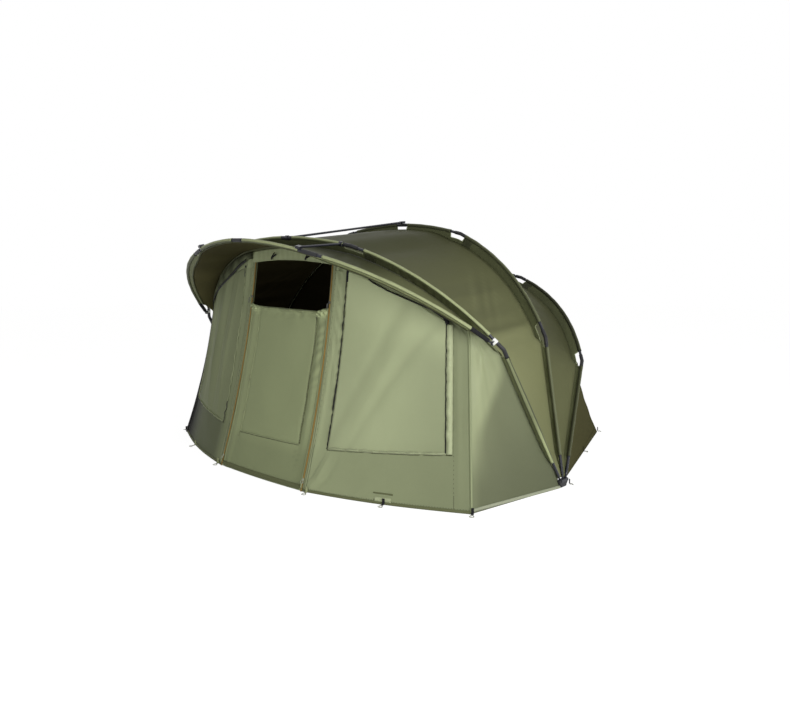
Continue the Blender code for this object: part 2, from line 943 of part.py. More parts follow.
def wall_heights(share, door):
    """Heights of the wall's rows: foot, hem, sill, window, window top, zip top and seam."""
    head = wall_head(share, door).z
    zip_share = zip_top_z / wall_head(1.0, True).z
    window_top = window_top_share * head
    heights = [hem_lift, wall_hem_height, sill_height - cover_margin]
    for step in range(window_rows + 1):
        heights.append(sill_height + (window_top - sill_height) * step / window_rows)
    return heights + [zip_share * head, head]


def window_shares():
    step = (window_to_share - window_from_share) / window_columns
    return [window_from_share + step * number for number in range(window_columns + 1)]


margin_share = cover_margin / (front_corner_x - zip_foot_x)
side_shares = [window_from_share - margin_share, *window_shares(), window_to_share + margin_share]


first_window_row = 3


def front_wall():
    spots = [(share, False) for share in [1.0, crease_share, *reversed(side_shares), 0.0]]
    spots += [(0.5, True), (0.0, True)]
    columns = []
    for share, door in spots:
        columns.append([wall_point(share, door, h) for h in wall_heights(share, door)])
    count = 2 * (len(spots) - 1)
    last_row = len(columns[0]) - 2
    door_squares = both_halves([len(spots) - 3, len(spots) - 2], count)
    first_column = spots.index((window_to_share, False))
    window_squares = both_halves(range(first_column, first_column + window_columns), count)
    left_out = {(row, number) for row in range(last_row) for number in door_squares}
    window_span = range(first_window_row, first_window_row + window_rows)
    left_out |= {(row, number) for row in window_span for number in window_squares}
    return sheet("front_wall", rows_of(mirrored(columns)), "cloth", left_out=left_out)


def window_cover(side, hand):
    """The cover that lies over a window's edges, and hangs from its hinge line below."""
    lift = cloth + cover_clearance
    columns = []
    for share in side_shares:
        heights = wall_heights(share, False)[first_window_row - 1 : -1]
        columns.append(
            [
                wall_point(share, False, h, side) + wall_out(share, False, h, side) * lift
                for h in heights
            ]
        )
    made = sheet(f"window_cover_{hand}", rows_of(columns), "cloth")
    first = columns[0][0]
    last = columns[-1][0]
    reach = last - first
    out = Vector((side * abs(reach.y), -abs(reach.x), 0.0)).normalized()
    bulge = max((column[0] - first).dot(out) for column in columns)
    pivot = (first + last) / 2
    pivot += out * (bulge - (pivot - first).dot(out) + cover_hinge_out)
    axis = Vector((0, 0, 1)).cross(out)
    set_origin(made, pivot)
    print("joint", made.name, tuple(pivot), tuple(axis))
    return made


def butt_at_angle(out, crease, reach):
    """How far a panel's edge stays off another panel's middle, where they meet at a slant."""
    own_normal = crease.cross(reach).normalized()
    cosine = abs(own_normal.dot(out))
    slant = cosine / math.sqrt(1 - cosine * cosine)
    return cloth / 2 + cloth / 2 * slant + seam_gap


def side_panel(side, hand):
    """The panel between the front corner's crease and the front rib's leg."""
    leg_top = wall_top_s - side_top_below_wall
    head = wall_head(crease_share, False).z
    heights = wall_heights(crease_share, False)[:-2] + [head - side_top_below_wall]
    rows = []
    for height in heights:
        near = wall_point(crease_share, False, height, side)
        share = (height - wall_hem_height) / (heights[-1] - wall_hem_height)
        s = leg_cloth_start + (leg_top - leg_cloth_start) * share
        if height == hem_lift:
            far = Vector((side * side_hem_end_x, hub_y - side_hem_end_y, hem_lift))
        else:
            depth = fin_depth(front, front_fin, s) * side_seam_share
            far = front.point(s, depth=depth, forward=butt, side=side)
        out = wall_out(crease_share, False, height, side)
        crease = wall_point(crease_share, False, head, side) - wall_point(
            crease_share, False, hem_lift, side
        )
        near -= out * butt_at_angle(out, crease, far - near)
        rows.append([near.lerp(far, step / side_steps) for step in range(side_steps + 1)])
    return sheet(f"side_panel_{hand}", rows, "cloth")


def door():
    rows = []
    steps = window_rows
    for number in range(steps + 1):
        height = door_lift + (door_height - door_lift) * number / steps
        row = []
        for share in (-1.0, -0.5, 0.0, 0.5, 1.0):
            edge = wall_point(1.0, True, height).x
            narrow = (edge - door_gap) / edge
            point = wall_point(abs(share), True, height, side=1 if share >= 0 else -1)
            row.append(Vector((point.x * narrow, point.y, point.z)))
        rows.append(row)
    made = sheet("door", rows, "cloth", thickness=door_cloth)
    pivot = Vector((0.0, hub_y - front_reach - door_cloth / 2, door_lift))
    set_origin(made, pivot)
    print("joint", made.name, tuple(pivot), tuple(across_x))
    return made


def slider(name, side, height):
    """A zip's slider with its pull tab, beside the door's edge."""
    place = wall_point(1.0, True, height, side)
    above = wall_point(1.0, True, height + slider_length, side)
    along = (above - place).normalized()
    out = wall_out(1.0, True, height, side)
    out = (out - along * out.dot(along)).normalized()
    middle = place + across_x * side * (slider_width / 2)
    middle += out * (cloth / 2 + seam_gap + slider_depth / 2)
    body = block(name, middle, along, out, (slider_length, slider_width, slider_depth), "zip")
    drop = slider_length / 2 + slider_tab_length / 2 - slider_tab_overlap
    tab_middle = middle - along * drop + out * (slider_depth / 2 - slider_tab_depth)
    tab_sizes = (slider_tab_length, slider_tab_width, slider_tab_depth)
    tab = block(name + "_tab", tab_middle, along, out, tab_sizes, "zip")
    print("joint", name, tuple(middle), tuple(along))
    combine(body, tab, "UNION")
    set_origin(body, middle)
    return body


def foot_line(rib):
    return Vector((0.0, hub_y + rib.foot[1], rib.foot[2]))


moving_ribs = (
    ("centre", centre, ("centre_", "rear_roof")),
    ("rear", rear, ("rear_leg", "rear_elbow", "rear_s", "rear_top", "rear_wall", "rear_hem")),
    ("hood", hood, ("hood_s", "hood_top", "hood_centre", "hood_cloth")),
)


def build():
    rib_frame("front", front, True)
    rib_frame("centre", centre, True)
    rib_frame("rear", rear, False)
    hood_frame()
    for side, hand in side_names.items():
        hub(side, hand)
        hub_pins(side, hand)
        hood_clip(side, hand)
        side_bar(side, hand)
        window_cover(side, hand)
        side_panel(side, hand)
        slider(f"lower_slider_{hand}", side, lower_slider_height)
        slider(f"upper_slider_{hand}", side, upper_slider_height)
    ridge_bar()
    front_notches = (front_elbow_notch, front_shoulder_notch)
    plain_notches = (notch_reach, notch_reach)
    gore("front_roof", front, centre, front_fin, front_notches, plain_notches, "roof_cloth")
    gore("rear_roof", centre, rear, rib_fin, plain_notches, plain_notches, "roof_cloth")
    rear_wall()
    rear_hem()
    hood_cloth()
    front_wall()
    door()
    for label, rib, names in moving_ribs:
        foot = foot_line(rib)
        print("foot line", label, tuple(foot), "tilt", math.degrees(rib.tilt))
        for made in list(bpy.data.objects):
            if made.name.startswith(names) and not made.hide_render:
                set_origin(made, foot)
    print("hub line", hub_y)


build()
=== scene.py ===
# Bivvy tent: cloth, webbing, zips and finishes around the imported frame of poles.
# Metres. +X is the right-hand side seen from the door, the door faces -Y, +Z is up.
import json
import math

import bmesh
import bpy
from mathutils import Matrix, Vector, noise

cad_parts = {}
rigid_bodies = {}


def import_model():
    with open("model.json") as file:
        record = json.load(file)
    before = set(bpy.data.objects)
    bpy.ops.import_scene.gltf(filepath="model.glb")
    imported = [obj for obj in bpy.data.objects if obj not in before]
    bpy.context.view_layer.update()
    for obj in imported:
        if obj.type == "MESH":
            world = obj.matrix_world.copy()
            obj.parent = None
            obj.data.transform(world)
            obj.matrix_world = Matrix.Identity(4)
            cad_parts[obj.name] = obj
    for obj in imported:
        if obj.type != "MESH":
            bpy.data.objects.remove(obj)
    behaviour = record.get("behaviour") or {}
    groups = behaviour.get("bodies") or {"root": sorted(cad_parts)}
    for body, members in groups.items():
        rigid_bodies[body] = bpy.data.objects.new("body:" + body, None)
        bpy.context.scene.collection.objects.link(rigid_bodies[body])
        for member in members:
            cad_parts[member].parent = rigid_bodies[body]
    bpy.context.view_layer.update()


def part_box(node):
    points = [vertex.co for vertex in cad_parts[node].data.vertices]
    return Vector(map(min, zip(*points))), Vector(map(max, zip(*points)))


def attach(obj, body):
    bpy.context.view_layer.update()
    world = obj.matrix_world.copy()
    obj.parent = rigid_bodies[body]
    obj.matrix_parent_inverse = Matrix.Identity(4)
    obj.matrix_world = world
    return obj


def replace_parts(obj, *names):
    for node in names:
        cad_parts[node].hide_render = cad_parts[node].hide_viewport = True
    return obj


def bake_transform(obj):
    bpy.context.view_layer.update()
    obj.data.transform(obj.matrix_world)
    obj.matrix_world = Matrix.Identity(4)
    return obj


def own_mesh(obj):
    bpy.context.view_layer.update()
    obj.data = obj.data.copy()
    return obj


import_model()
print("frame loaded")

# Sizes shared by the cloth pieces

cloth = {
    "thick": 0.0012,
    "start": 0.016,
    "sleeveStart": 0.155,
    "sleeveRadius": 0.0112,
    "sleeveThick": 0.0008,
    "hoodFin": 0.0465,
    "hoodBare": 0.160,
    "hoodSeamInset": 0.058,
    "flatLength": 1.1,
    "flatWidth": 1.4,
    "frontFin": 0.086,
    "ribFin": 0.074,
    "legShare": 0.60,
    "footShare": 0.35,
    "seamAboveRoot": 0.010,
    "faceOff": 0.0024,
    "notch": 0.062,
    "cuts": {
        "front": {"elbow": (0.055, 0.120), "shoulder": (0.100, 0.064)},
        "centre": {"elbow": (0.064, 0.110), "shoulder": (0.050, 0.090)},
        "rear": {"elbow": (0.046, 0.088), "shoulder": (0.070, 0.072)},
        "hood": {"shoulder": (0.085, 0.080)},
    },
    "centreNotch": 0.052,
    "roofSag": 0.022,
    "hoodSag": 0.018,
    "rearSag": 0.035,
    "topRise": 0.56,
    "hoodTop": 0.58,
    "elbowSoftness": 0.16,
    "ledgeBlur": 0.32,
}

# Materials


class Value:  # a socket that takes part in sums
    def __init__(self, finish, socket):
        self.finish = finish
        self.socket = socket

    def calc(self, operation, first, second):
        return self.finish.node("ShaderNodeMath", {"operation": operation}, {0: first, 1: second})

    def __add__(self, other):
        return self.calc("ADD", self, other)

    def __radd__(self, other):
        return self.calc("ADD", other, self)

    def __sub__(self, other):
        return self.calc("SUBTRACT", self, other)

    def __rsub__(self, other):
        return self.calc("SUBTRACT", other, self)

    def __mul__(self, other):
        return self.calc("MULTIPLY", self, other)

    def __rmul__(self, other):
        return self.calc("MULTIPLY", other, self)


class Nodes:  # makes the nodes of a tree
    def __init__(self, tree):
        self.tree = tree

    def node(self, kind, settings=None, sockets=None, output=0):
        made = self.tree.nodes.new(kind)
        for key, setting in (settings or {}).items():
            if key == "stops":
                ramp = made.color_ramp
                while len(ramp.elements) < len(setting):
                    ramp.elements.new(0.5)
                for element, (place, colour) in zip(ramp.elements, setting):
                    element.position = place
                    element.color = (*colour, 1)
            else:
                setattr(made, key, setting)
        for key, given in (sockets or {}).items():
            if isinstance(given, Value):
                self.tree.links.new(given.socket, made.inputs[key])
            else:
                made.inputs[key].default_value = given
        return Value(self, made.outputs[output])


class Finish(Nodes):  # a material and the nodes that feed it
    def __init__(self, name, roughness=0.5, **settings):
        self.material = bpy.data.materials.new(name)
        self.material.use_nodes = True
        super().__init__(self.material.node_tree)
        self.shader = self.tree.nodes["Principled BSDF"]
        self.shader.inputs["Roughness"].default_value = roughness
        for socket, number in settings.items():
            self.shader.inputs[socket.replace("_", " ")].default_value = number

    def feed(self, socket, value):
        self.tree.links.new(value.socket, self.shader.inputs[socket])

    def coordinates(self, which="Object", scale=(1, 1, 1), turn=(0, 0, 0)):
        place = self.node("ShaderNodeTexCoord", output=which)
        return self.node("ShaderNodeMapping", None, {"Vector": place, "Scale": scale, "Rotation": turn})

    def noise(self, place, scale, detail=2.0, roughness=0.5):
        sockets = {"Vector": place, "Scale": scale, "Detail": detail, "Roughness": roughness}
        return self.node("ShaderNodeTexNoise", None, sockets)

    def wave(self, place, scale, direction):
        settings = {"wave_type": "BANDS", "bands_direction": direction, "wave_profile": "SIN"}
        return self.node("ShaderNodeTexWave", settings, {"Vector": place, "Scale": scale}, 1)

    def feedPaintedLight(self, colour):  # the colour, painted paler or darker where the painted light and shade says so
        tone = self.node("ShaderNodeAttribute", {"attribute_name": "tone"}, output=2)
        sockets = {0: colour, 3: tone + 1.0}
        self.feed("Base Color", self.node("ShaderNodeVectorMath", {"operation": "SCALE"}, sockets))

    def blend(self, share, first, second):
        settings = {"data_type": "RGBA"}
        return self.node("ShaderNodeMix", settings, {0: share, 6: (*first, 1), 7: (*second, 1)}, 2)

    def bump(self, height, strength, distance, under=None):
        sockets = {"Height": height, "Strength": strength, "Distance": distance}
        if under:
            sockets["Normal"] = under
        return self.node("ShaderNodeBump", None, sockets)


# Scales of the patterns in the finishes
grains = {
    "weave": 640.0,
    "teeth": 130.0,
    "broad": 1.6,
    "fine": 38.0,
    "soft": 9.0,
    "creased": 24.0,
    "sleeve": 30.0,
    "zip": 40.0,
    "solid": 11.0,
}


def clothFinish(name, dark, light, roughness, crinkle=0.5, sheen=0.1, shine=0.05):
    made = Finish(name, roughness, Sheen_Weight=sheen, Sheen_Roughness=0.4, Specular_IOR_Level=shine)
    place = made.coordinates()
    broad = made.noise(place, grains["broad"], 3.0)
    fine = made.noise(place, grains["fine"], 3.0, 0.6)
    made.feedPaintedLight(made.blend(broad * 0.8 + fine * 0.2, dark, light))
    made.feed("Roughness", broad * 0.10 + (roughness - 0.05))
    weavePlace = made.coordinates("UV")
    warp = made.wave(weavePlace, grains["weave"], "X")
    weft = made.wave(weavePlace, grains["weave"], "Y")
    weave = made.bump(warp * 0.5 + weft * 0.5, 0.25, 0.00015)
    soft = made.noise(place, grains["soft"], 2.0)
    tall = made.coordinates(scale=(1, 1, 0.35))
    creased = made.noise(tall, grains["creased"], 3.0, 0.55)
    made.feed("Normal", made.bump(soft * 0.6 + creased * 0.4, crinkle, 0.004, weave))
    return made.material


def sleeveFinish(name, dark, light, roughness):
    made = Finish(name, roughness, Sheen_Weight=0.04, Sheen_Roughness=0.4, Specular_IOR_Level=0.15)
    split = made.node("ShaderNodeSeparateXYZ", None, {0: made.coordinates("UV")}, 1)
    turn = split * (1 / (math.tau * cloth["sleeveRadius"]))
    # Painted highlight: the outer part of the sleeve's turn takes the ridge colour, the rest the side
    # colour
    stops = ((0.0, 0), (0.30, 0), (0.40, 1), (0.60, 1), (0.70, 0))
    ramp = {"stops": [(place, (pale,) * 3) for place, pale in stops]}
    outer = made.node("ShaderNodeValToRGB", ramp, {0: turn})
    wearAndShade = made.noise(made.coordinates(), grains["sleeve"], 3.0, 0.6)
    made.feedPaintedLight(made.blend(outer * (wearAndShade * 0.4 + 0.75), dark, light))
    weave = made.wave(made.coordinates("UV"), grains["weave"], "X")
    made.feed("Roughness", wearAndShade * 0.1 + roughness)
    made.feed("Normal", made.bump(wearAndShade, 0.5, 0.002, made.bump(weave, 0.25, 0.00015)))
    return made.material


def zipFinish(name, colour, shine):
    made = Finish(name, 0.42, Specular_IOR_Level=0.12)
    teeth = made.wave(made.coordinates("UV"), grains["teeth"], "X")
    wearAndShade = made.noise(made.coordinates(), grains["zip"], 2.0)
    dark = tuple(part * 0.45 for part in colour)
    made.feed("Base Color", made.blend(teeth * 0.55 + wearAndShade * 0.45, dark, colour))
    made.feed("Roughness", teeth * 0.2 + shine)
    made.feed("Normal", made.bump(teeth, 0.7, 0.001))
    return made.material


def solidFinish(name, dark, light, roughness, metallic=0.0, grain=180.0, wearAndShade=0.1, coat=0.0):
    gloss = {"Metallic": metallic, "Coat_Weight": coat, "Coat_Roughness": 0.2, "Specular_IOR_Level": 0.3}
    made = Finish(name, roughness, **gloss)
    place = made.coordinates()
    broad = made.noise(place, grains["solid"], 3.0)
    fine = made.noise(place, grain, 2.0)
    made.feed("Base Color", made.blend(broad * 0.6 + fine * 0.4, dark, light))
    made.feed("Roughness", broad * 0.14 + fine * wearAndShade + (roughness - 0.1))
    made.feed("Normal", made.bump(fine, 0.25, 0.0003, made.bump(broad, 0.1, 0.001)))
    return made.material


finishRows = {
    clothFinish: {  # name, darkest and palest colour, roughness, crinkle, sheen, shine
        "wall": ("wall cloth", (0.234, 0.262, 0.148), (0.274, 0.304, 0.178), 0.50, 0.5, 0.01, 0.02),
        # Painted light: a paler copy of the wall cloth, for the right window cover
        "cover": ("cover cloth", (0.304, 0.340, 0.194), (0.342, 0.378, 0.226), 0.50, 0.4, 0.03),
        # Partly painted light: a paler cloth for the right cover's rolled flap and ridge, also used for a
        # patch on the hem
        "flap": ("rolled flap cloth", (0.32, 0.355, 0.21), (0.40, 0.436, 0.27), 0.48, 0.9, 0.08),
        "door": ("door cloth", (0.254, 0.288, 0.152), (0.288, 0.324, 0.178), 0.52, 0.5, 0.03),
        # Painted shade: the roof, rear wall, side, hood and fin cloths are darker copies of the wall cloth
        "roof": ("roof cloth", (0.108, 0.114, 0.055), (0.132, 0.138, 0.070), 0.46, 0.4, 0.0, 0.015),
        "rear": ("rear wall cloth", (0.076, 0.073, 0.034), (0.096, 0.092, 0.044), 0.52, 0.5, 0.0, 0.0),
        "side": ("side cloth", (0.172, 0.190, 0.108), (0.200, 0.220, 0.130), 0.40, 0.4, 0.05, 0.08),
        "hood": ("hood cloth", (0.098, 0.106, 0.050), (0.118, 0.126, 0.062), 0.46, 0.5, 0.04),
        "fin": ("fin cloth", (0.062, 0.068, 0.032), (0.082, 0.089, 0.044), 0.46, 0.5, 0.04),
        "patch": ("reinforcing patch", (0.036, 0.039, 0.020), (0.052, 0.056, 0.030), 0.5, 0.9, 0.04),
        # Painted light: a paler copy of the fin cloth, for the hood's fin
        "hoodFin": ("hood fin cloth", (0.150, 0.168, 0.078), (0.195, 0.214, 0.104), 0.46, 0.5, 0.04),
        "piping": ("pale piping", (0.250, 0.275, 0.155), (0.320, 0.350, 0.210), 0.45, 0.6, 0.08),
        "darkPiping": ("dark piping", (0.070, 0.076, 0.038), (0.100, 0.108, 0.056), 0.45, 0.6, 0.05),
        # Painted shade: the inner side of the cloth and of the hood, painted dark
        "lining": (
            "inner side of the cloth", (0.034, 0.028, 0.010), (0.048, 0.040, 0.015), 0.6, 0.5, 0.0, 0.01,
        ),
        "hoodLining": (
            "inner side of the hood", (0.046, 0.042, 0.017), (0.062, 0.057, 0.026), 0.6, 0.6, 0.0, 0.01,
        ),
        "webbing": ("hem webbing", (0.270, 0.295, 0.160), (0.330, 0.355, 0.200), 0.6, 0.8, 0.06),
        # Dark hem webbing, also used for the painted shade along the right door seam
        "darkWebbing": ("dark hem webbing", (0.105, 0.115, 0.055), (0.135, 0.148, 0.075), 0.6, 0.8, 0.05),
        "strap": ("black webbing", (0.010, 0.010, 0.011), (0.022, 0.022, 0.024), 0.6, 0.8, 0.05),
        # Painted highlight: a pale tape along the foot of the side panels
        "hemTape": ("pale hem tape", (0.272, 0.292, 0.204), (0.354, 0.374, 0.272), 0.55, 0.8),
    },
    sleeveFinish: {  # name, colour of the sides, colour of the ridge's painted highlight, roughness
        "sleeve": ("pale pole sleeve", (0.085, 0.095, 0.045), (0.345, 0.380, 0.200), 0.42),
        # Painted shade: darker copies of the front rib's sleeve, for the centre and rear ribs
        "darkSleeve": ("dark pole sleeve", (0.066, 0.072, 0.036), (0.138, 0.152, 0.080), 0.46),
        "deepSleeve": ("deep pole sleeve", (0.036, 0.039, 0.018), (0.088, 0.096, 0.048), 0.48),
    },
    zipFinish: {  # name, colour, roughness
        "doorZip": ("ochre zip", (0.400, 0.255, 0.072), 0.40),
        "blackZip": ("black zip", (0.030, 0.030, 0.028), 0.32),
    },
    solidFinish: {  # name, darkest and palest colour, roughness, metal, grain, wear, coat
        "thread": ("dark thread", (0.030, 0.033, 0.016), (0.060, 0.065, 0.035), 0.7),
        "paleThread": ("pale thread", (0.200, 0.220, 0.120), (0.260, 0.280, 0.160), 0.7),
        "pole": ("coated pole", (0.010, 0.011, 0.016), (0.022, 0.023, 0.032), 0.34, 0.35, 220.0, 0.2, 0.25),
        "plastic": (
            "black moulded plastic", (0.010, 0.010, 0.011), (0.020, 0.020, 0.022), 0.45, 0.0, 320.0, 0.2,
        ),
        "paleClip": ("pale moulded clip", (0.62, 0.63, 0.60), (0.75, 0.76, 0.73), 0.42),
        "dullMetal": ("blackened slider", (0.055, 0.055, 0.050), (0.100, 0.100, 0.090), 0.42, 0.6),
        "metal": ("zinc ring", (0.50, 0.50, 0.48), (0.66, 0.66, 0.64), 0.32, 0.9),
        "greyGreen": ("grey-green plastic", (0.24, 0.26, 0.18), (0.33, 0.35, 0.26), 0.5),
        "cordLoop": ("pale cord", (0.20, 0.21, 0.15), (0.32, 0.33, 0.25), 0.7),
    },
}
finishes = {key: make(*row) for make, rows in finishRows.items() for key, row in rows.items()}
print("cloth finishes made")

# Camera, lights and floor

# The camera's place was solved from the photograph
shot = {
    "azimuth": 42.533,
    "elevation": 8.194,
    "distance": 5.768,
    "target": (0.128, -0.1546, 0.716),
    "pixels": 784.286,
    "frame": 790,
    "sensor": 36.0,
    "nearest": 0.05,
}


def linked(name, data):
    made = bpy.data.objects.new(name, data)
    bpy.context.scene.collection.objects.link(made)
    return made


def meshOf(name, builder):  # the builder is used up
    data = bpy.data.meshes.new(name)
    builder.to_mesh(data)
    builder.free()
    return data


def aimed(name, data, place, target):
    made = linked(name, data)
    made.location = place
    made.rotation_euler = (target - place).to_track_quat("-Z", "Y").to_euler()
    return made


def fromTarget(azimuth, elevation, distance, target):
    a = math.radians(azimuth)
    e = math.radians(elevation)
    ray = Vector((math.sin(a) * math.cos(e), -math.cos(a) * math.cos(e), math.sin(e)))
    return Vector(target) + ray * distance


def placeCamera():
    data = bpy.data.cameras.new("camera")
    data.sensor_width = shot["sensor"]
    data.lens = shot["pixels"] / shot["frame"] * shot["sensor"]
    data.clip_start = shot["nearest"]
    place = fromTarget(shot["azimuth"], shot["elevation"], shot["distance"], shot["target"])
    bpy.context.scene.camera = aimed("camera", data, place, Vector(shot["target"]))


# azimuth, elevation, distance, size, watts
lamps = {
    "key": (72.0, 14.0, 6.5, 3.2, 230.0),
    "front": (14.0, 12.0, 7.0, 4.5, 100.0),
    "top": (230.0, 60.0, 5.5, 4.0, 18.0),
}
lampTarget = Vector((0, 0, 0.6))


def placeLamps():
    for name, (azimuth, elevation, distance, size, power) in lamps.items():
        data = bpy.data.lights.new(name, "AREA")
        data.shape = "DISK"
        data.size = size
        data.energy = power
        aimed(name, data, fromTarget(azimuth, elevation, distance, lampTarget), lampTarget)


def seenBackground(tree, shader, strength=1.0, share=1.0):
    # White for the camera and for what the object reflects, the plain shader for the light
    made = Nodes(tree)
    rays = ("Is Camera Ray", "Is Glossy Ray", "Is Transmission Ray")
    camera, glossy, through = (made.node("ShaderNodeLightPath", output=ray) for ray in rays)
    most = {"operation": "MAXIMUM"}
    reflected = made.node("ShaderNodeMath", most, {0: glossy, 1: through})
    seen = made.node("ShaderNodeMath", most, {0: camera, 1: reflected})
    kind = "ShaderNodeEmission" if share < 1 else "ShaderNodeBackground"
    glow = made.node(kind, None, {"Color": (1, 1, 1, 1), "Strength": strength})
    plain = Value(made, shader.outputs[0])
    mixed = made.node("ShaderNodeMixShader", None, {0: seen * share, 1: plain, 2: glow})
    last = next(node for node in tree.nodes if node.name.endswith("Output"))
    tree.links.new(mixed.socket, last.inputs["Surface"])


stage = {
    "sky": (1.0, 1.0, 0.97, 1),
    "skyStrength": 0.27,
    "floor": (0.86, 0.86, 0.86, 1),
    "floorRadius": 14.0,
    "floorHeight": -0.0005,
    "seenFloor": (1.22, 0.76),  # strength and share of the white that the camera sees there
}


def placeStage():
    world = bpy.data.worlds.new("studio")
    world.use_nodes = True
    bpy.context.scene.world = world
    plain = world.node_tree.nodes["Background"]
    plain.inputs["Color"].default_value = stage["sky"]
    plain.inputs["Strength"].default_value = stage["skyStrength"]
    seenBackground(world.node_tree, plain)
    builder = bmesh.new()
    bmesh.ops.create_circle(builder, cap_ends=True, segments=64, radius=stage["floorRadius"])
    floor = linked("floor", meshOf("floor", builder))
    floor.location.z = stage["floorHeight"]
    pale = Finish("pale floor", 0.9, Base_Color=stage["floor"])
    seenBackground(pale.tree, pale.shader, *stage["seenFloor"])
    floor.data.materials.append(pale.material)


placeCamera()
placeLamps()
placeStage()
bpy.context.scene.view_settings.view_transform = "Standard"
print("camera, lamps and floor placed")

# Ribs: the outlines of the poles, on which the cloth hangs

ribSizes = {
    "front": {"tilt": 30.1, "elbow": (1.452, 1.003), "shoulder": (0.5611, 1.678), "crown": 1.736},
    "centre": {"tilt": -7.7, "elbow": (1.324, 0.877), "shoulder": (0.558, 1.544), "crown": 1.612},
    "rear": {"tilt": -38.8, "elbow": (1.341, 0.857), "shoulder": (0.5518, 1.534), "crown": 1.598},
    "hood": {"tilt": 50.6, "elbow": None, "shoulder": (0.5611, 0.799), "crown": 0.917},
    "pinHeight": 0.045,
    "pinSpacing": 0.030,
    "sideSteps": 7,
    "sideBow": 0.092,
    "hoodBow": 0.105,
    "crownShares": (0.76, 0.50, 0.25, 0.12),
    "clipAboveElbow": 0.072,
    "clipForward": 0.026,
    "rounding": 0.045,
}
hubLow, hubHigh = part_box("hub_right")
hubMiddle = (hubLow + hubHigh) / 2


class Rib:  # x from the middle, r from the foot line, s along the pole from its foot
    def __init__(self, name, foot):
        size = ribSizes[name]
        self.name = name
        self.tilt = math.radians(size["tilt"])
        self.foot = foot
        self.up = Vector((0, -math.sin(self.tilt), math.cos(self.tilt)))
        self.ahead = Vector((0, -math.cos(self.tilt), -math.sin(self.tilt)))
        nodes = [(foot.x, 0.0)]
        if size["elbow"]:
            nodes.append(size["elbow"])
        start = nodes[-1]
        runX = size["shoulder"][0] - start[0]
        runR = size["shoulder"][1] - start[1]
        bow = ribSizes["sideBow"] if size["elbow"] else ribSizes["hoodBow"]
        for step in range(1, ribSizes["sideSteps"] + 1):
            share = step / ribSizes["sideSteps"]
            out = bow * 4 * share * (1 - share)
            nodes.append(
                (start[0] + runX * share + runR * out, start[1] + runR * share - runX * out)
            )
        drop = (size["crown"] - size["shoulder"][1]) / size["shoulder"][0] ** 2
        for share in ribSizes["crownShares"]:
            x = size["shoulder"][0] * share
            nodes.append((x, size["crown"] - drop * x * x))
        nodes.append((0.0, nodes[-1][1]))
        self.nodes = nodes
        self.lengths = [0.0]
        for (x0, r0), (x1, r1) in zip(nodes, nodes[1:]):
            self.lengths.append(self.lengths[-1] + math.hypot(x1 - x0, r1 - r0))
        corner = 1 if size["elbow"] else 0
        self.elbow = self.lengths[corner]
        self.shoulder = self.lengths[corner + ribSizes["sideSteps"]]
        self.end = self.lengths[-1]

    def flat(self, s, depth):  # on the pole's outline, moved inwards by depth
        if s > self.end:
            x, r = self.flat(2 * self.end - s, depth)
            return -x, r
        number = 0
        while number < len(self.nodes) - 2 and s > self.lengths[number + 1]:
            number += 1
        (x0, r0), (x1, r1) = self.nodes[number], self.nodes[number + 1]
        length = self.lengths[number + 1] - self.lengths[number]
        share = (s - self.lengths[number]) / length
        return (
            x0 + (x1 - x0) * share - (r1 - r0) / length * depth,
            r0 + (r1 - r0) * share + (x1 - x0) / length * depth,
        )

    def point(self, s, depth=0.0, forward=0.0, side=1, rounding=None):
        window = ribSizes["rounding"] if rounding is None else rounding
        x = r = 0.0
        for step, weight in ((-1.0, 1), (-0.5, 2), (0.0, 2), (0.5, 2), (1.0, 1)):
            flatX, flatR = self.flat(s + step * window, depth)
            x += flatX * weight / 8
            r += flatR * weight / 8
        base = Vector((side * x, self.foot.y, self.foot.z))
        return base + self.up * r + self.ahead * forward

    def reach(self, s):  # the same place on the nearer half
        return min(s, 2 * self.end - s)

    def along(self, key):  # 0 at the cloth's foot, 1 at the elbow, 2 at the shoulder, 3 at the crown
        stops = (cloth["start"], self.elbow, self.shoulder, self.end)
        number = min(int(key), 2)
        return stops[number] + (stops[number + 1] - stops[number]) * (key - number)


hubPoint = Vector((hubMiddle.x, hubMiddle.y, ribSizes["pinHeight"]))
pinStep = Vector((0, ribSizes["pinSpacing"], 0))
frontRib = Rib("front", hubPoint - pinStep)
centreRib = Rib("centre", hubPoint)
rearRib = Rib("rear", hubPoint + pinStep)
clipAt = frontRib.elbow + ribSizes["clipAboveElbow"]
hoodRib = Rib("hood", frontRib.point(clipAt, forward=ribSizes["clipForward"], rounding=0.0))
print("ribs laid out")

# Cloth panels


def smooth(low, high, value):
    share = min(max((value - low) / (high - low), 0.0), 1.0)
    return share * share * (3 - 2 * share)


def fall(low, high, value):  # 1 below low, 0 above high
    return smooth(-high, -low, -value)


def bell(value, middle, width):
    return math.exp(-(((value - middle) / width) ** 2))


def arch(share):  # 0 at both ends, 1 in the middle
    return math.sin(math.pi * share)


def folded(folds, value):  # height of the folds at the value; each has place, width, height
    return sum(high * bell(value, place, width) for place, width, high in folds)


def ripple(place, scale, seed):
    return noise.noise(Vector((place.x * scale, place.y * scale + seed, place.z * scale)))


def ownSide(sign, place):  # the place, mirrored where the sign is negative
    return Vector((-place.x if sign < 0 else place.x, place.y, place.z))


def spread(stops, counts):  # numbers through the stops, with so many steps between each two
    numbers = [stops[0]]
    for low, high, count in zip(stops, stops[1:], counts):
        numbers += [low + (high - low) * step / count for step in range(1, count + 1)]
    return numbers


def even(count, low=0, high=1):  # so many equal steps
    return spread([low, high], [count])


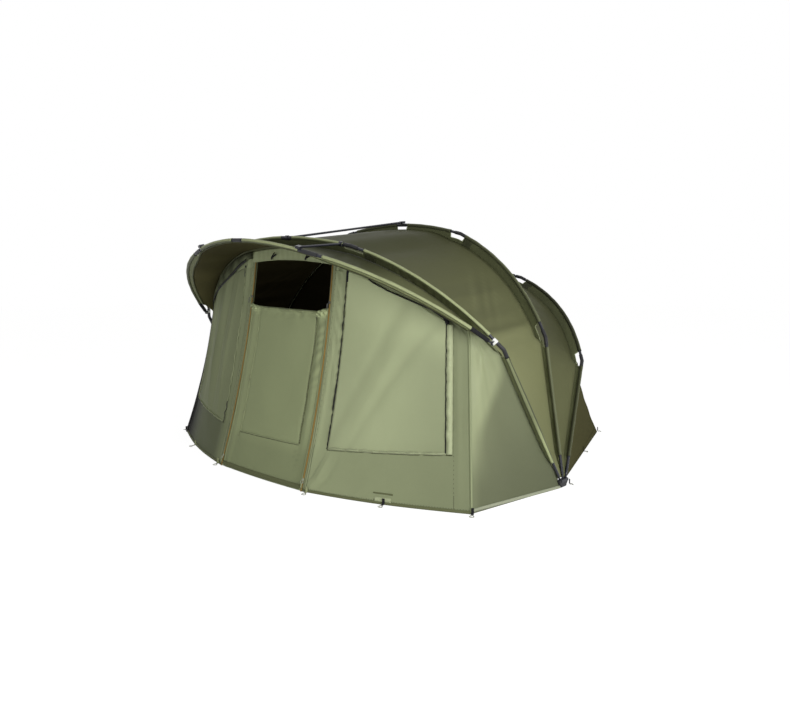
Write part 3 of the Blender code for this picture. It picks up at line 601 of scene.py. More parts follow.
def linkPiece(name, builder, finishList, body, slot, smoothAngle=50):
    data = meshOf(name, builder)
    for finish in finishList:
        data.materials.append(finishes[finish])
    data.shade_smooth()
    data.set_sharp_from_angle(angle=math.radians(smoothAngle))
    piece = linked(name, data)
    if body:
        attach(piece, body)
    return piece


def lengthTo(keys, points):  # the way along the points to each key
    lengths = {keys[0]: 0.0}
    for before, after, start, stop in zip(keys, keys[1:], points, points[1:]):
        lengths[after] = lengths[before] + (stop - start).length
    return lengths


def clothGrid(across, up, surface, holes=(), away=None, tone=None):
    # A grid bent over a surface. across and up are the places of its lines, and a face whose
    # middle a hole's test names is left out. The faces look away from the point given, and
    # the painted light and shade says how far the cloth is painted paler or darker there
    builder = bmesh.new()
    bmesh.ops.create_grid(
        builder, x_segments=len(across) - 1, y_segments=len(up) - 1, size=0.5, calc_uvs=False
    )
    layer = builder.loops.layers.uv.new("cloth")
    shades = builder.verts.layers.float.new("tone")
    places = {}
    for vert in builder.verts:
        column = round((vert.co.x + 0.5) * (len(across) - 1))
        row = round((vert.co.y + 0.5) * (len(up) - 1))
        places[vert] = (across[column], up[row])
    if holes:
        cut = []
        for face in builder.faces:
            u = sum(places[vert][0] for vert in face.verts) / 4
            v = sum(places[vert][1] for vert in face.verts) / 4
            if any(test(u, v) for test in holes):
                cut.append(face)
        bmesh.ops.delete(builder, geom=cut, context="FACES")
    for vert in builder.verts:
        vert.co = surface(*places[vert])
        vert[shades] = tone(*places[vert]) if tone else 0.0
    width = lengthTo(across, [surface(u, (up[0] + up[-1]) / 2) for u in across])
    height = lengthTo(up, [surface((across[0] + across[-1]) / 2, v) for v in up])
    for face in builder.faces:
        for loop in face.loops:
            u, v = places[loop.vert]
            loop[layer].uv = (width[u], height[v])
    away = away or inside
    builder.normal_update()
    score = 0.0
    for face in builder.faces:
        score += (face.calc_center_median() - away).dot(face.normal) * face.calc_area()
    if score < 0:
        bmesh.ops.reverse_faces(builder, faces=builder.faces)
    return builder


def makeSheet(name, builder, finishList, body, slot, thick=None, nodes=()):
    area = sum(face.calc_area() for face in builder.faces)
    corners = list(zip(*(vert.co for vert in builder.verts)))
    long = max(max(row) - min(row) for row in corners) * cloth["flatLength"]
    wide = area / long * cloth["flatWidth"]
    piece = linkPiece(name, builder, finishList, body, slot)
    thicken(piece, thick or cloth["thick"], 0.0).material_offset = len(finishList) - 1
    if nodes:
        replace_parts(piece, *nodes)
    return piece


def foldBack(piece, joint, rib):  # gives the piece a mesh of its own
    tuple(rib.ahead)
    tuple(rib.foot)
    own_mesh(piece)


inside = Vector((0, hubMiddle.y, 0.4))
hands = (("Right", 1), ("Left", -1))
halfKeys = (-3, -2, -1, 0, 1, 2, 3)  # both feet, elbows and shoulders, and the crown between them


def finDepth(rib, full, s, blur=0.0):
    half = cloth["notch"] / 2 + blur
    share = smooth(rib.elbow - half, rib.elbow + half, s)
    foot = smooth(cloth["start"], cloth["sleeveStart"] + 0.05, s)
    foot = cloth["footShare"] + (1 - cloth["footShare"]) * foot
    return full * (cloth["legShare"] + (1 - cloth["legShare"]) * share) * foot


def roofInset(rib, full, k, blur=0.0):  # how far below the pole a roof panel is sewn on
    risen = 1 - cloth["topRise"] * smooth(2.02, 2.5, k)
    return finDepth(rib, full, rib.along(k), blur) * risen


def hoodDepth(s):
    top = smooth(hoodRib.shoulder - 0.20, hoodRib.shoulder + 0.06, hoodRib.reach(s))
    return cloth["hoodFin"] * (1 - cloth["hoodTop"] * top)


def depthAt(rib, full, s):  # how far the fin reaches in from the pole
    return hoodDepth(s) if rib.name == "hood" else finDepth(rib, full, rib.reach(s))


def turned(*axes):  # the turn that lays x, y and z along the axes
    return Matrix(axes).transposed().to_4x4()


def weld(builder, distance=0.00005):
    bmesh.ops.remove_doubles(builder, verts=builder.verts, dist=distance)


def thicken(piece, thick, offset):
    wall = piece.modifiers.new("thickness", "SOLIDIFY")
    wall.thickness = thick
    wall.offset = offset
    return wall


# Trims that follow a line on a surface


def lineOn(surface, start, stop, side=1):  # gives the point and the outward normal at t
    def place(t, out=0.0):
        u = side * (start[0] + (stop[0] - start[0]) * t)
        v = start[1] + (stop[1] - start[1]) * t
        point = surface(u, v, out=out)
        normal = (surface(u, v, out=out + 0.01) - point).normalized()
        return point, normal

    return place


def wayAt(line, lift, t, step=0.004):  # the way on along the line
    return line(min(t + step, 1.0), lift)[0] - line(max(t - step, 0.0), lift)[0]


def ribbon(
    name, line, width, finish, body, slot, steps=60, crown=0.0, lift=0.0, rough=0.0, thick=0.0012, rows=2
):
    cache = {}

    def at(t):
        if t not in cache:
            point, normal = line(t, lift)
            cache[t] = (point, normal, wayAt(line, lift, t).cross(normal).normalized())
        return cache[t]

    def surface(t, v):
        point, normal, aside = at(t)
        arch = crown * (1 - 4 * v * v)
        uneven = ripple(point + aside * v * width, 34.0, 3.0) * rough
        return point + aside * v * width + normal * (arch + uneven)

    across = even(rows, -0.5, 0.5)
    builder = clothGrid(even(steps), across, surface, away=line(0.5, -0.3)[0])
    piece = linkPiece(name, builder, [finish], body, slot)
    thicken(piece, thick, 1.0)
    return piece


def stitches(
    name, line, pitch, length, width, finish, body, slot, lift=0.0006, aside=0.0, wander=0.0
):
    total = sum((line((n + 1) / 40)[0] - line(n / 40)[0]).length for n in range(40))
    count = max(2, round(total / pitch))
    builder = bmesh.new()
    for number in range(count):
        t = (number + 0.5) / count
        point, normal = line(t, lift)
        ahead = wayAt(line, lift, t).normalized()
        side = ahead.cross(normal).normalized()
        point = point + side * (aside + wander * math.sin(number * 1.7))
        turn = turned(ahead, side, normal)
        size = Matrix.Diagonal((length, width, width * 0.5, 1))
        bmesh.ops.create_cube(builder, size=1.0, matrix=Matrix.Translation(point) @ turn @ size)
    return linkPiece(name, builder, [finish], body, slot)


def follow(rows, hand="", side=1):
    # Each row: ribbon or stitches, name, surface, the line's two ends, and what that function takes
    for make, name, surface, start, stop, *rest in rows:
        make(name + hand, lineOn(surface, start, stop, side), *rest)


def sweep(
    name, centre, radius, finish, body, slot, steps=24, around=12, upright=Vector((0, 0, 1)), caps=True
):
    # A rounded bar along a line, with a radius that changes along it
    def frameAt(t):
        point = centre(t)
        ahead = (centre(min(t + 0.01, 1)) - centre(max(t - 0.01, 0))).normalized()
        first = ahead.cross(upright)
        if first.length < 0.01:
            first = ahead.cross(Vector((1, 0, 0)))
        first.normalize()
        return point, first, first.cross(ahead).normalized()

    def surface(t, turn):
        point, first, second = frameAt(t)
        angle = turn * 2 * math.pi
        outward = first * math.cos(angle) + second * math.sin(angle)
        return point + outward * max(radius(t), 0.0001)

    turns = even(around)
    builder = clothGrid(even(steps), turns, surface, away=centre(0.5))
    weld(builder)
    if caps:
        rims = [edge for edge in builder.edges if edge.is_boundary]
        bmesh.ops.edgeloop_fill(builder, edges=rims)
        bmesh.ops.recalc_face_normals(builder, faces=builder.faces)
    return linkPiece(name, builder, [finish], body, slot)


def ring(name, centre, normal, major, minor, finish, body, slot):
    builder = bmesh.new()
    across = normal.orthogonal().normalized()
    turn = turned(across, normal, across.cross(normal))
    place = Matrix.Translation(centre + across * major) @ turn
    bmesh.ops.create_circle(builder, segments=8, radius=minor, matrix=place)
    geom = builder.edges[:] + builder.verts[:]
    bmesh.ops.spin(
        builder, geom=geom, cent=centre, axis=normal, angle=math.tau, steps=20, use_merge=True
    )
    weld(builder)
    bmesh.ops.recalc_face_normals(builder, faces=builder.faces)
    return linkPiece(name, builder, [finish], body, slot)


# Fins: the flaps that hold the poles, cut out at each joint, with a sleeve along the pole

fins = {
    "edge": 0.0085,
    "cutShare": 0.56,
    "cutRound": 0.012,
    "step": 0.012,
    "rows": 5,
    "around": 14,
    "flare": 0.0012,
    "legFlare": 0.0042,
    "frontShoulder": 0.5,
    "piping": {"width": 0.008, "crown": 0.0035, "in": 0.002, "out": 0.003, "steps": 150},
    "binding": {"width": 0.006, "crown": 0.002, "lift": -0.001, "steps": 40},
    "patch": 0.080,
    "patchGap": 0.084,
    "patchOut": 0.0028,
    "patchWave": 0.0012,
    "streak": 0.0045,
}


def finCuts(rib):  # stretches of the rib that the fin leaves bare
    size = cloth["cuts"][rib.name]
    cuts = [(rib.shoulder - size["shoulder"][0], rib.shoulder + size["shoulder"][1])]
    if "elbow" in size:
        cuts.append((rib.elbow - size["elbow"][0], rib.elbow + size["elbow"][1]))
    cuts += [(2 * rib.end - high, 2 * rib.end - low) for low, high in cuts]
    if rib.name != "rear":
        cuts.append((rib.end - cloth["centreNotch"], rib.end + cloth["centreNotch"]))
    return sorted(cuts)


def cutShare(rib, low, high, shallow):  # how much of a cut's full depth the fin really has there
    if low < rib.end < high:
        return 1 - shallow
    middle = rib.reach((low + high) / 2)
    return fins["frontShoulder"] if rib.name == "front" and middle > rib.shoulder - 0.05 else 1.0


def cutBare(low, high, s):  # 1 within a cut, falling round its corners to 0 at its ends
    return smooth(low, low + fins["cutRound"], s) * fall(high - fins["cutRound"], high, s)


def makeFin(rib, full, start, body, colours, shallow):
    isFront = rib.name == "front"
    cuts = finCuts(rib)
    first = max(start, cloth["sleeveStart"])

    def topAt(s, depth):
        bare = 0.6 * fall(first - 0.02, first, rib.reach(s)) * (rib.name != "hood")
        for low, high in cuts:
            bare = max(bare, cutBare(low, high, s) * cutShare(rib, low, high, shallow))
        return fins["edge"] + (depth * fins["cutShare"] - fins["edge"]) * bare

    def surface(s, share):
        depth = depthAt(rib, full, s)
        place = rib.point(s, depth + (topAt(s, depth) - depth) * share)
        wave = ripple(place, 7.0, 3.0) * 0.006 + ripple(place, 26.0, 8.0) * 0.0016
        if isFront:
            reach = rib.reach(s)
            streaks = smooth(rib.elbow + 0.08, rib.elbow + 0.2, reach)
            streaks *= fall(rib.shoulder - 0.4, rib.shoulder - 0.1, reach)
            wave += fins["streak"] * math.sin(reach * 92 + 2.2 * math.sin(reach * 17)) * streaks
        return place + rib.ahead * wave * arch(share)

    # Painted light: the fins paler on their legs, the front fin most and above its elbow too, all paler
    # towards the pole; the hood's fin paler on its right half and darker on its left
    def shade(s, share):
        if rib.name == "hood":
            lit = 0.70 * fall(0.9 * rib.end, 1.2 * rib.end, s)
            return lit - 0.12 * smooth(rib.end, 1.3 * rib.end, s)
        reach = rib.reach(s)
        leg = (0.85 if isFront else 0.45) * fall(rib.elbow - 0.05, rib.elbow, reach)
        if isFront:
            near = bell(reach, rib.elbow + 0.22, 0.22)
        else:
            near = 0.25 * bell(reach, rib.elbow + 0.1, 0.2)
        return leg + 1.1 * near + 0.25 * share

    marks = [start, 2 * rib.end - start]
    for low, high in cuts:
        marks += [low, low + fins["cutRound"], high - fins["cutRound"], high]
    marks.sort()
    counts = [max(2, round((b - a) / fins["step"])) for a, b in zip(marks, marks[1:])]
    rows = even(fins["rows"])
    builder = clothGrid(spread(marks, counts), rows, surface, tone=shade)
    makeSheet(rib.name + "Fin", builder, [colours[0]], body, "roof_cloth")
    piping = fins["piping"]
    for hand, side in reversed(hands):

        def lowerEdge(t, out=0.0):
            s = start + (rib.end - start) * t
            depth = depthAt(rib, full, s) - piping["in"]
            return rib.point(s, depth, piping["out"] + out, side), rib.ahead

        name, sizes = f"{rib.name}Piping{hand}", (piping["steps"], piping["crown"])
        ribbon(name, lowerEdge, piping["width"], colours[2], body, "cloth", *sizes)
    makeSleeves(rib, first, cuts, body, colours[1])


def makeSleeves(rib, first, cuts, body, colour):  # a tube round the pole between the cuts
    isFront = rib.name == "front"
    edges = [first] + [end for cut in cuts for end in cut] + [2 * rib.end - first]
    for number, (low, high) in enumerate(zip(edges[::2], edges[1::2])):

        def tube(s, turn):
            centre = rib.point(s)
            inner = (rib.point(s, 0.01) - centre).normalized()
            ends = bell(s, low, 0.02) + bell(s, high, 0.02)
            uneven = ripple(centre, 18.0, 2.0) * 0.0012
            radius = cloth["sleeveRadius"] + fins["flare"] * ends + uneven
            reach = rib.reach(s)
            if isFront and reach < rib.elbow:
                up = min(max((reach - first) / (rib.elbow - first - 0.05), 0), 1)
                radius += fins["legFlare"] * arch(up)
            angle = turn * 2 * math.pi
            return centre + (inner * math.cos(angle) + rib.ahead * math.sin(angle)) * radius

        # Painted shade: the front rib's sleeve darker on the upper half of its leg, the other ribs' sleeves
        # a little darker all along
        def wearAndShade(s, turn):
            if not isFront:
                return -0.1
            reach = rib.reach(s)
            leg = fall(rib.elbow - 0.04, rib.elbow + 0.02, reach)
            return -0.46 * leg * smooth(rib.elbow * 0.28, rib.elbow * 0.55, reach)

        along = even(max(4, round((high - low) / fins["step"])), low, high)
        around = even(fins["around"])
        middle = rib.point((low + high) / 2)
        builder = clothGrid(along, around, tube, away=middle, tone=wearAndShade)
        weld(builder, 0.0002)
        name = f"{rib.name}Sleeve{number}"
        makeSheet(name, builder, [colour], body, "cloth", thick=cloth["sleeveThick"])


def makeBindings(rib, full, body, shallow):
    for number, (low, high) in enumerate(finCuts(rib)):
        depth = depthAt(rib, full, (low + high) / 2)
        share = cutShare(rib, low, high, shallow)
        deep = fins["edge"] + (depth * fins["cutShare"] - fins["edge"]) * share

        def edge(t, out=0.0):
            s = low + (high - low) * t
            inset = fins["edge"] + (deep - fins["edge"]) * cutBare(low, high, s)
            return rib.point(s, inset, out), rib.ahead

        if not (shallow and low < rib.end < high):
            width, crown, lift, steps = fins["binding"].values()
            name = f"{rib.name}Binding{number}"
            ribbon(name, edge, width, "piping", body, "cloth", steps, crown, lift)


def makePatches(rib, full, body):
    near = rib.shoulder - cloth["cuts"][rib.name]["shoulder"][0] - fins["patchGap"]

    def surface(u, v):
        return rib.point(u, full * v, fins["patchOut"] + fins["patchWave"] * math.sin(u * 90))

    for number, s in enumerate((near, 2 * rib.end - near - fins["patch"])):
        along = even(10, s, s + fins["patch"])
        builder = clothGrid(along, even(5, 0.2, 0.95), surface)
        makeSheet(f"{rib.name}Patch{number}", builder, ["patch"], body, "roof_cloth")


frontFin, ribFin, start = cloth["frontFin"], cloth["ribFin"], cloth["start"]
# rib, depth of the fin, its start, body, finishes of fin, sleeve and piping, crown's shallowness
finRows = (
    (frontRib, frontFin, start, "main", ("fin", "sleeve", "piping"), 0.9),
    (centreRib, ribFin, start, "centre_rib", ("fin", "darkSleeve", "piping"), 0.0),
    (rearRib, ribFin, start, "rear_rib", ("fin", "deepSleeve", "piping"), 0.0),
    (hoodRib, cloth["hoodFin"], cloth["hoodBare"], "hood", ("hoodFin", "sleeve", "darkPiping"), 0.9),
)
for row in finRows:
    makeFin(*row)
for rib, full, start, body, colours, shallow in finRows:
    makeBindings(rib, full, body, shallow)
    if rib.name != "hood":
        makePatches(rib, full, body)
hoodGuard = {"from": 0.030, "to": cloth["hoodBare"] - 0.004, "radius": 0.0132, "uneven": 0.0006}
for hand, side in hands:
    low, high = hoodGuard["from"], hoodGuard["to"]
    sweep(
        f"hoodGuard{hand}",
        lambda t: hoodRib.point(low + (high - low) * t, 0, 0, side),
        lambda t: hoodGuard["radius"] + hoodGuard["uneven"] * math.sin(t * 70),
        "strap", "hood", "plastic", 60, 14, upright=hoodRib.ahead,
    )
print("fins and sleeves made")

# Roof panels

# Folds of a roof panel: place along the key, width, height in metres
roofFolds = {
    "frontRoof": (
        (1.10, 0.030, 0.006), (1.17, 0.025, -0.005), (1.24, 0.030, 0.006),
        (1.33, 0.035, -0.005), (1.43, 0.035, 0.006), (1.55, 0.05, -0.004),
    ),
    "rearRoof": (
        (1.35, 0.04, 0.006), (1.46, 0.035, -0.005), (1.56, 0.04, 0.006),
        (1.70, 0.04, -0.005), (1.84, 0.03, 0.006), (1.15, 0.05, -0.004),
    ),
}


def roofPaintedLight(key, share):  # painted light below the crease above the elbows, painted shade towards the crown
    k = 3 - abs(key)
    low = fall(1.105, 1.155, k)
    lit = low * (0.46 + 0.40 * bell(k, 0.85, 0.35) * (1 - share))
    return lit - 0.42 * smooth(1.55, 2.35, k) + 0.08 * bell(k, 1.25, 0.18)


# Painted shade over the rear roof, deepest above the elbows, with a little painted light on the legs and
# along the centre rib
def rearPaintedLight(key, share):
    k = 3 - abs(key)
    shaded = 0.30 * bell(k, 1.25, 0.3) + 0.34 * smooth(1.2, 1.9, k) + 0.08
    return 0.06 * fall(0.9, 1.2, k) + 0.10 * bell(share, 0.1, 0.1) - shaded


# Upright folds that hang below the shoulder of the front roof: how far across, width, height
uprightFolds = (
    (0.476, 0.014, 0.0050), (0.535, 0.020, -0.0040), (0.567, 0.012, 0.0045),
    (0.636, 0.013, 0.0050), (0.60, 0.015, -0.004),
)
foldWay = (0.737, 0.676)  # the direction on the ground along which they follow each other


def uprightFold(place, k, share, tall):  # height of the upright folds at a place
    across = abs(place.x) * foldWay[0] + place.y * foldWay[1]
    return folded(uprightFolds, across) * bell(k, 1.45, tall) * bell(share, 0.55, 0.28)


def gore(name, first, second, firstFin, body, replaced, joint, tone):
    def surface(key, share):
        side = 1 if key >= 0 else -1
        k = 3 - abs(key)
        soft = ribSizes["rounding"] + cloth["elbowSoftness"] * arch(share)
        blur = cloth["ledgeBlur"]
        depth = roofInset(first, firstFin, k, blur * smooth(0, 0.2, share))
        root = first.point(first.along(k), depth, side=side, rounding=soft)
        depth = roofInset(second, cloth["ribFin"], k, blur * fall(0.8, 1, share))
        depth -= cloth["seamAboveRoot"] * fall(2.1, 2.5, k)
        seam = second.point(second.along(k), depth, cloth["faceOff"], side=side, rounding=soft)
        inward = (inside - (root + seam) / 2).normalized()
        dip = cloth["roofSag"] * (seam - root).length / 1.1 * 4 * share * (1 - share)
        place = root.lerp(seam, share) + inward * dip * (1 - 1.4 * smooth(2.0, 2.6, k))
        middle = arch(share)
        place -= inward * folded(roofFolds[name], k) * middle
        if name == "frontRoof":
            place -= inward * uprightFold(place, k, share, 0.22)
        place += inward * ripple(place, 3.2, 1.0) * 0.006 * middle
        place += inward * ripple(place, 14.0, 5.0) * 0.0035 * bell(share, 0.08, 0.09) * middle
        pulled = bell(k, 1.92, 0.2) * bell(share, 0.72, 0.3)
        pulled += 0.4 * bell(k, 1.15, 0.08) * bell(share, 0.92, 0.12)
        waves = math.sin(place.x * 34 + place.z * 60 + 3 * ripple(place, 6.0, 2.0))
        return place + inward * waves * 0.0032 * pulled * middle

    def shade(key, share):
        if name != "frontRoof":
            return tone(key, share)
        # Painted light and shade: the upright folds are painted paler on their ridges and darker in their
        # hollows
        shine = 34 * uprightFold(surface(key, share), 3 - abs(key), share, 0.24)
        return tone(key, share) + shine

    across = spread(halfKeys, [28, 80, 26, 26, 80, 28])
    builder = clothGrid(across, even(26), surface, tone=shade)
    piece = makeSheet(name, builder, ["roof", "lining"], body, "roof_cloth", nodes=[replaced])
    foldBack(piece, joint, first)


goreRows = (
    ("frontRoof", frontRib, centreRib, frontFin, "main", "front_roof", "centre_rib_fold", roofPaintedLight),
    ("rearRoof", centreRib, rearRib, ribFin, "centre_rib", "rear_roof", "rear_rib_fold", rearPaintedLight),
)
for row in goreRows:
    gore(*row)
print("roof panels made")

# Rear wall and its hem

rear = {
    "hemEndX": 1.500,
    "hemEndY": 0.090,
    "cornerX": 1.0199,
    "cornerY": 1.430,
    "reach": 1.600,
    "lift": 0.0012,
    "hemRow": 0.94,
}


def rearGround(s):
    if s <= rearRib.elbow:
        share = (s - cloth["start"]) / (rearRib.elbow - cloth["start"])
        x = rear["hemEndX"] + (rear["cornerX"] - rear["hemEndX"]) * share
        y = rear["hemEndY"] + (rear["cornerY"] - rear["hemEndY"]) * share
    else:
        share = (s - rearRib.elbow) / (rearRib.end - rearRib.elbow)
        x = rear["cornerX"] * (1 - share)
        y = rear["cornerY"] + (rear["reach"] - rear["cornerY"]) * (1 - (1 - share) ** 2)
    return Vector((x, hubMiddle.y + y, rear["lift"]))


def rearSurface(key, share):  # share 0 at the fin, 1 at the ground
    s = rearRib.along(3 - abs(key))
    root = rearRib.point(s, finDepth(rearRib, cloth["ribFin"], s))
    ground = rearGround(s)
    sink = (Vector((0, hubMiddle.y, 0)) - ground).normalized()
    drop = (root.z - ground.z) / ribSizes["rear"]["crown"]
    place = root.lerp(ground, share) + sink * cloth["rearSag"] * drop * 4 * share * (1 - share)
    middle = arch(share)
    place += sink * ripple(place, 4.0, 7.0) * 0.012 * middle
    return ownSide(key, place)


rearAcross = spread(halfKeys, [26, 40, 24, 24, 40, 26])
builder = clothGrid(rearAcross, even(24, 0, rear["hemRow"]), rearSurface)
nodes = ["rear_wall"]
piece = makeSheet("rearWall", builder, ["rear", "lining"], "rear_rib", "roof_cloth", nodes=nodes)
foldBack(piece, "rear_rib_fold", rearRib)
builder = clothGrid(rearAcross, even(3, rear["hemRow"] - 0.005, 1), rearSurface)
nodes = ["rear_hem"]
piece = makeSheet("rearHem", builder, ["rear"], "rear_rib", "webbing", thick=0.002, nodes=nodes)
foldBack(piece, "rear_rib_fold", rearRib)
print("rear wall made")

# Front wall. The share runs 0 to 1 across half the door and 1 to 2 from its zip to the crease

front = {
    "reach": 1.190,
    "zipFootX": 0.414,
    "zipFootY": 1.175,
    "cornerX": 1.440,
    "cornerY": 0.790,
    "bulge": 0.040,
    "zipTopX": 0.385,
    "zipTopZ": 1.379,
    "doorHeight": 1.110,
    "aboveElbow": 0.225,
    "hoodAboveElbow": 0.125,
    "sag": 0.042,
    "seamInset": 0.076,
    "hem": 0.090,
    "sill": 0.312,
    "sillRise": 0.066,
    "leftDraw": 0.050,
    "windowFrom": 0.145,
    "windowTo": 0.880,
    "windowTop": 0.925,
    "margin": 0.018,
    "lift": 0.0012,
}


def search(low, high, steps, below):  # halves the span that holds the place looked for
    for step in range(steps):
        half = (low + high) / 2
        if below(half):
            low = half
        else:
            high = half
    return low, high


def ribAtX(x):  # the place on the front rib whose inset outline is x from the middle
    low, high = search(
        frontRib.elbow, frontRib.end, 18, lambda s: frontRib.point(s, front["seamInset"]).x > x
    )
    return (low + high) / 2


wallTopX = frontRib.point(frontRib.elbow + front["aboveElbow"], front["seamInset"]).x
headPlaces = {}


def wallHead(share):
    key = round(share, 4)
    if key not in headPlaces:
        if share <= 1:
            x = front["zipTopX"] * share
        else:
            x = front["zipTopX"] + (wallTopX - front["zipTopX"]) * (share - 1)
        headPlaces[key] = frontRib.point(ribAtX(x), front["seamInset"], cloth["faceOff"])
    return headPlaces[key]


def wallFoot(share):
    if share <= 1:
        y = front["reach"] + (front["zipFootY"] - front["reach"]) * share * share
        return Vector((front["zipFootX"] * share, hubMiddle.y - y, 0))
    part = share - 1
    x = front["zipFootX"] + (front["cornerX"] - front["zipFootX"]) * part
    y = front["zipFootY"] + (front["cornerY"] - front["zipFootY"]) * part
    return Vector((x, hubMiddle.y - y - front["bulge"] * arch(part), 0))


def sillAt(share):
    return front["sill"] + front["sillRise"] * (max(share, 1.0) - 1.5)


def wallHeight(share, key):  # rows: 0 ground, 1 hem, 2 sill, 3 window top, 4 zip top, 5 seam
    head = wallHead(share).z
    zipTop = front["zipTopZ"] / wallHead(1.0).z
    stops = (0.0, front["hem"] / head, sillAt(share) / head, front["windowTop"], zipTop, 1.0)
    number = min(int(key), 4)
    return stops[number] + (stops[number + 1] - stops[number]) * (key - number)


def wallPlain(share, key):
    up = wallHeight(share, key)
    place = wallFoot(share).lerp(wallHead(share), up)
    place.y += front["sag"] * 4 * up * (1 - up) * (1 - smooth(1.0, 2.0, share))
    return place


def wallOut(share, key):
    near = wallPlain(share, key)
    above = wallPlain(share, key + (-0.02 if key > 4.9 else 0.02))
    beside = wallPlain(share + (-0.02 if share > 1.5 else 0.02), key)
    out = (above - near).cross(beside - near).normalized()
    return -out if out.y > 0 else out


def leftDraw(share, key):  # how far the wall is pulled in near its left crease
    up = wallHeight(share, key)
    return front["leftDraw"] * 4 * up * (1 - up) * smooth(1.2, 2.0, share)


def wallPoint(share, key, out=0.0):
    place = wallPlain(abs(share), key) + wallOut(abs(share), key) * (out + wallRelief(share, key))
    if share < 0:
        place.x -= leftDraw(-share, key)
    place.z = max(place.z, front["lift"])
    return ownSide(share, place)


def keyAt(share, z):  # the row key at which the wall is z high
    return search(0.0, 5.0, 20, lambda key: wallPlain(abs(share), key).z < z)[0]


windowSpan = (1 + front["windowFrom"], 1 + front["windowTo"])

# Soft folds of the wall: share, key, how far they run each way, height, slant of the line
wallFolds = (
    (1.06, 3.6, 0.010, 1.2, 0.0050, -0.030),
    (1.10, 3.2, 0.008, 1.0, -0.0040, -0.035),
    (1.05, 2.3, 0.012, 1.0, 0.0040, 0.030),
    (1.09, 1.0, 0.016, 0.8, 0.0060, 0.080),
    (1.13, 0.8, 0.014, 0.7, -0.0050, 0.090),
    (1.93, 2.9, 0.012, 2.0, 0.0060, 0.0),
    (1.96, 3.0, 0.010, 2.2, -0.0040, 0.0),
    (-1.08, 2.5, 0.014, 2.4, -0.0070, 0.0),
    (-1.04, 2.8, 0.010, 2.4, 0.0050, 0.0),
    (-1.12, 3.2, 0.012, 2.0, 0.0070, 0.010),
    (-1.92, 2.2, 0.014, 2.0, 0.0060, 0.0),
)


def drawnUp(share, key):  # where the strip beside the right door zip is gathered
    return bell(share, 1.068, 0.026) * smooth(2.2, 2.7, key) * fall(3.9, 4.4, key)


def gathers(share, key, shift=0.0):  # the small pleats of that strip
    waves = math.sin(key * 40 + share * 90 + 2 * math.sin(key * 9) + shift)
    return waves * drawnUp(share, key)


def wallRelief(share, key):
    place = ownSide(share, wallPlain(abs(share), key))
    edges = smooth(0, 0.6, key) * fall(4.7, 5.0, key)
    relief = ripple(place, 3.0, 11.0) * 0.007 + ripple(place, 9.0, 4.0) * 0.0016
    for at, row, wide, tall, high, slant in wallFolds:
        relief += high * bell(share - slant * (key - row), at, wide) * bell(key, row, tall)
    crumple = bell(key, 4.25, 0.55) * smooth(1.2, 1.35, share) * fall(1.85, 2.0, share)
    relief += ripple(place, 26.0, 9.0) * 0.012 * crumple
    relief += 0.0060 * gathers(share, key)
    relief -= 0.010 * crumple
    relief -= 0.006 * bell(key, 4.5, 0.3) * bell(share, 0, 0.9)
    edges *= smooth(1.0, 1.03, abs(share)) * (1 - 0.8 * smooth(1.9, 1.97, abs(share)))
    return relief * edges


def inDoor(u, v):
    return abs(u) < 1 and v < 4


def inWindow(u, v):
    return windowSpan[0] < abs(u) < windowSpan[1] and 2 < v < 3


half = [0, 1, *windowSpan, 2]
steps = [20, 14, 56, 12]
wallAcross = spread([-number for number in reversed(half)] + half[1:], steps[::-1] + steps)
wallUp = spread([0, 1, 2, 3, 4, 5], [6, 12, 48, 8, 14])


# Painted light and shade of the front wall: paler beside the right door zip and along its head under the
# hood, light and shade on the gathered pleats, painted shade in streaks high on the right, along a crease
# by the zip, towards the right crease, and on the left wall below the sill and near its crease
def wallPaintedLight(share, key):
    paler = 0.22 * bell(share, 1.06, 0.07) * smooth(1.5, 3.0, key)
    upper = 0.48 * smooth(3.9, 4.2, key) * fall(1.0, 1.08, abs(share))
    paler += upper * (1 + 0.22 * math.sin(share * 46 + key * 2))
    if share > 1:
        shaded = 0.30 * bell(key, 4.2, 0.4) * smooth(1.25, 1.4, share)
        shaded *= max(math.sin(share * 95 + key * 4), 0)
        shaded += 0.30 * bell(share - 1.045 - 0.085 * (key - 0.9), 0, 0.006) * bell(key, 1.25, 0.45)
        outer = 0.14 * fall(1.05, 1.4, share) - 0.22 * smooth(1.35, 1.95, share)
        return paler + 0.24 * gathers(share, key, 1.2) - shaded + outer
    low = fall(1.98, 2.02, key)
    left = 0.08 - 0.36 * smooth(2.7, 3.4, key) + 0.44 * low * smooth(1.05, 1.2, -share)
    corner = 0.50 * smooth(1.5, 1.98, -share) * fall(1.8, 2.9, key)
    return paler - smooth(0.98, 1.03, -share) * left - corner


builder = clothGrid(wallAcross, wallUp, wallPoint, [inDoor, inWindow], tone=wallPaintedLight)
makeSheet("frontWall", builder, ["wall", "lining"], "main", "cloth", nodes=["front_wall"])

# Door panel. Its row runs 0 at the ground to 1 at its dropped upper edge

door = {
    "gap": 0.0012,
    "lift": 0.004,
    "forward": 0.0006,
    "droop": 0.021,
    "seam": 0.76,
    "leftSeam": -0.715,
    "lowSeam": 0.235,
    "creases": 5,
}


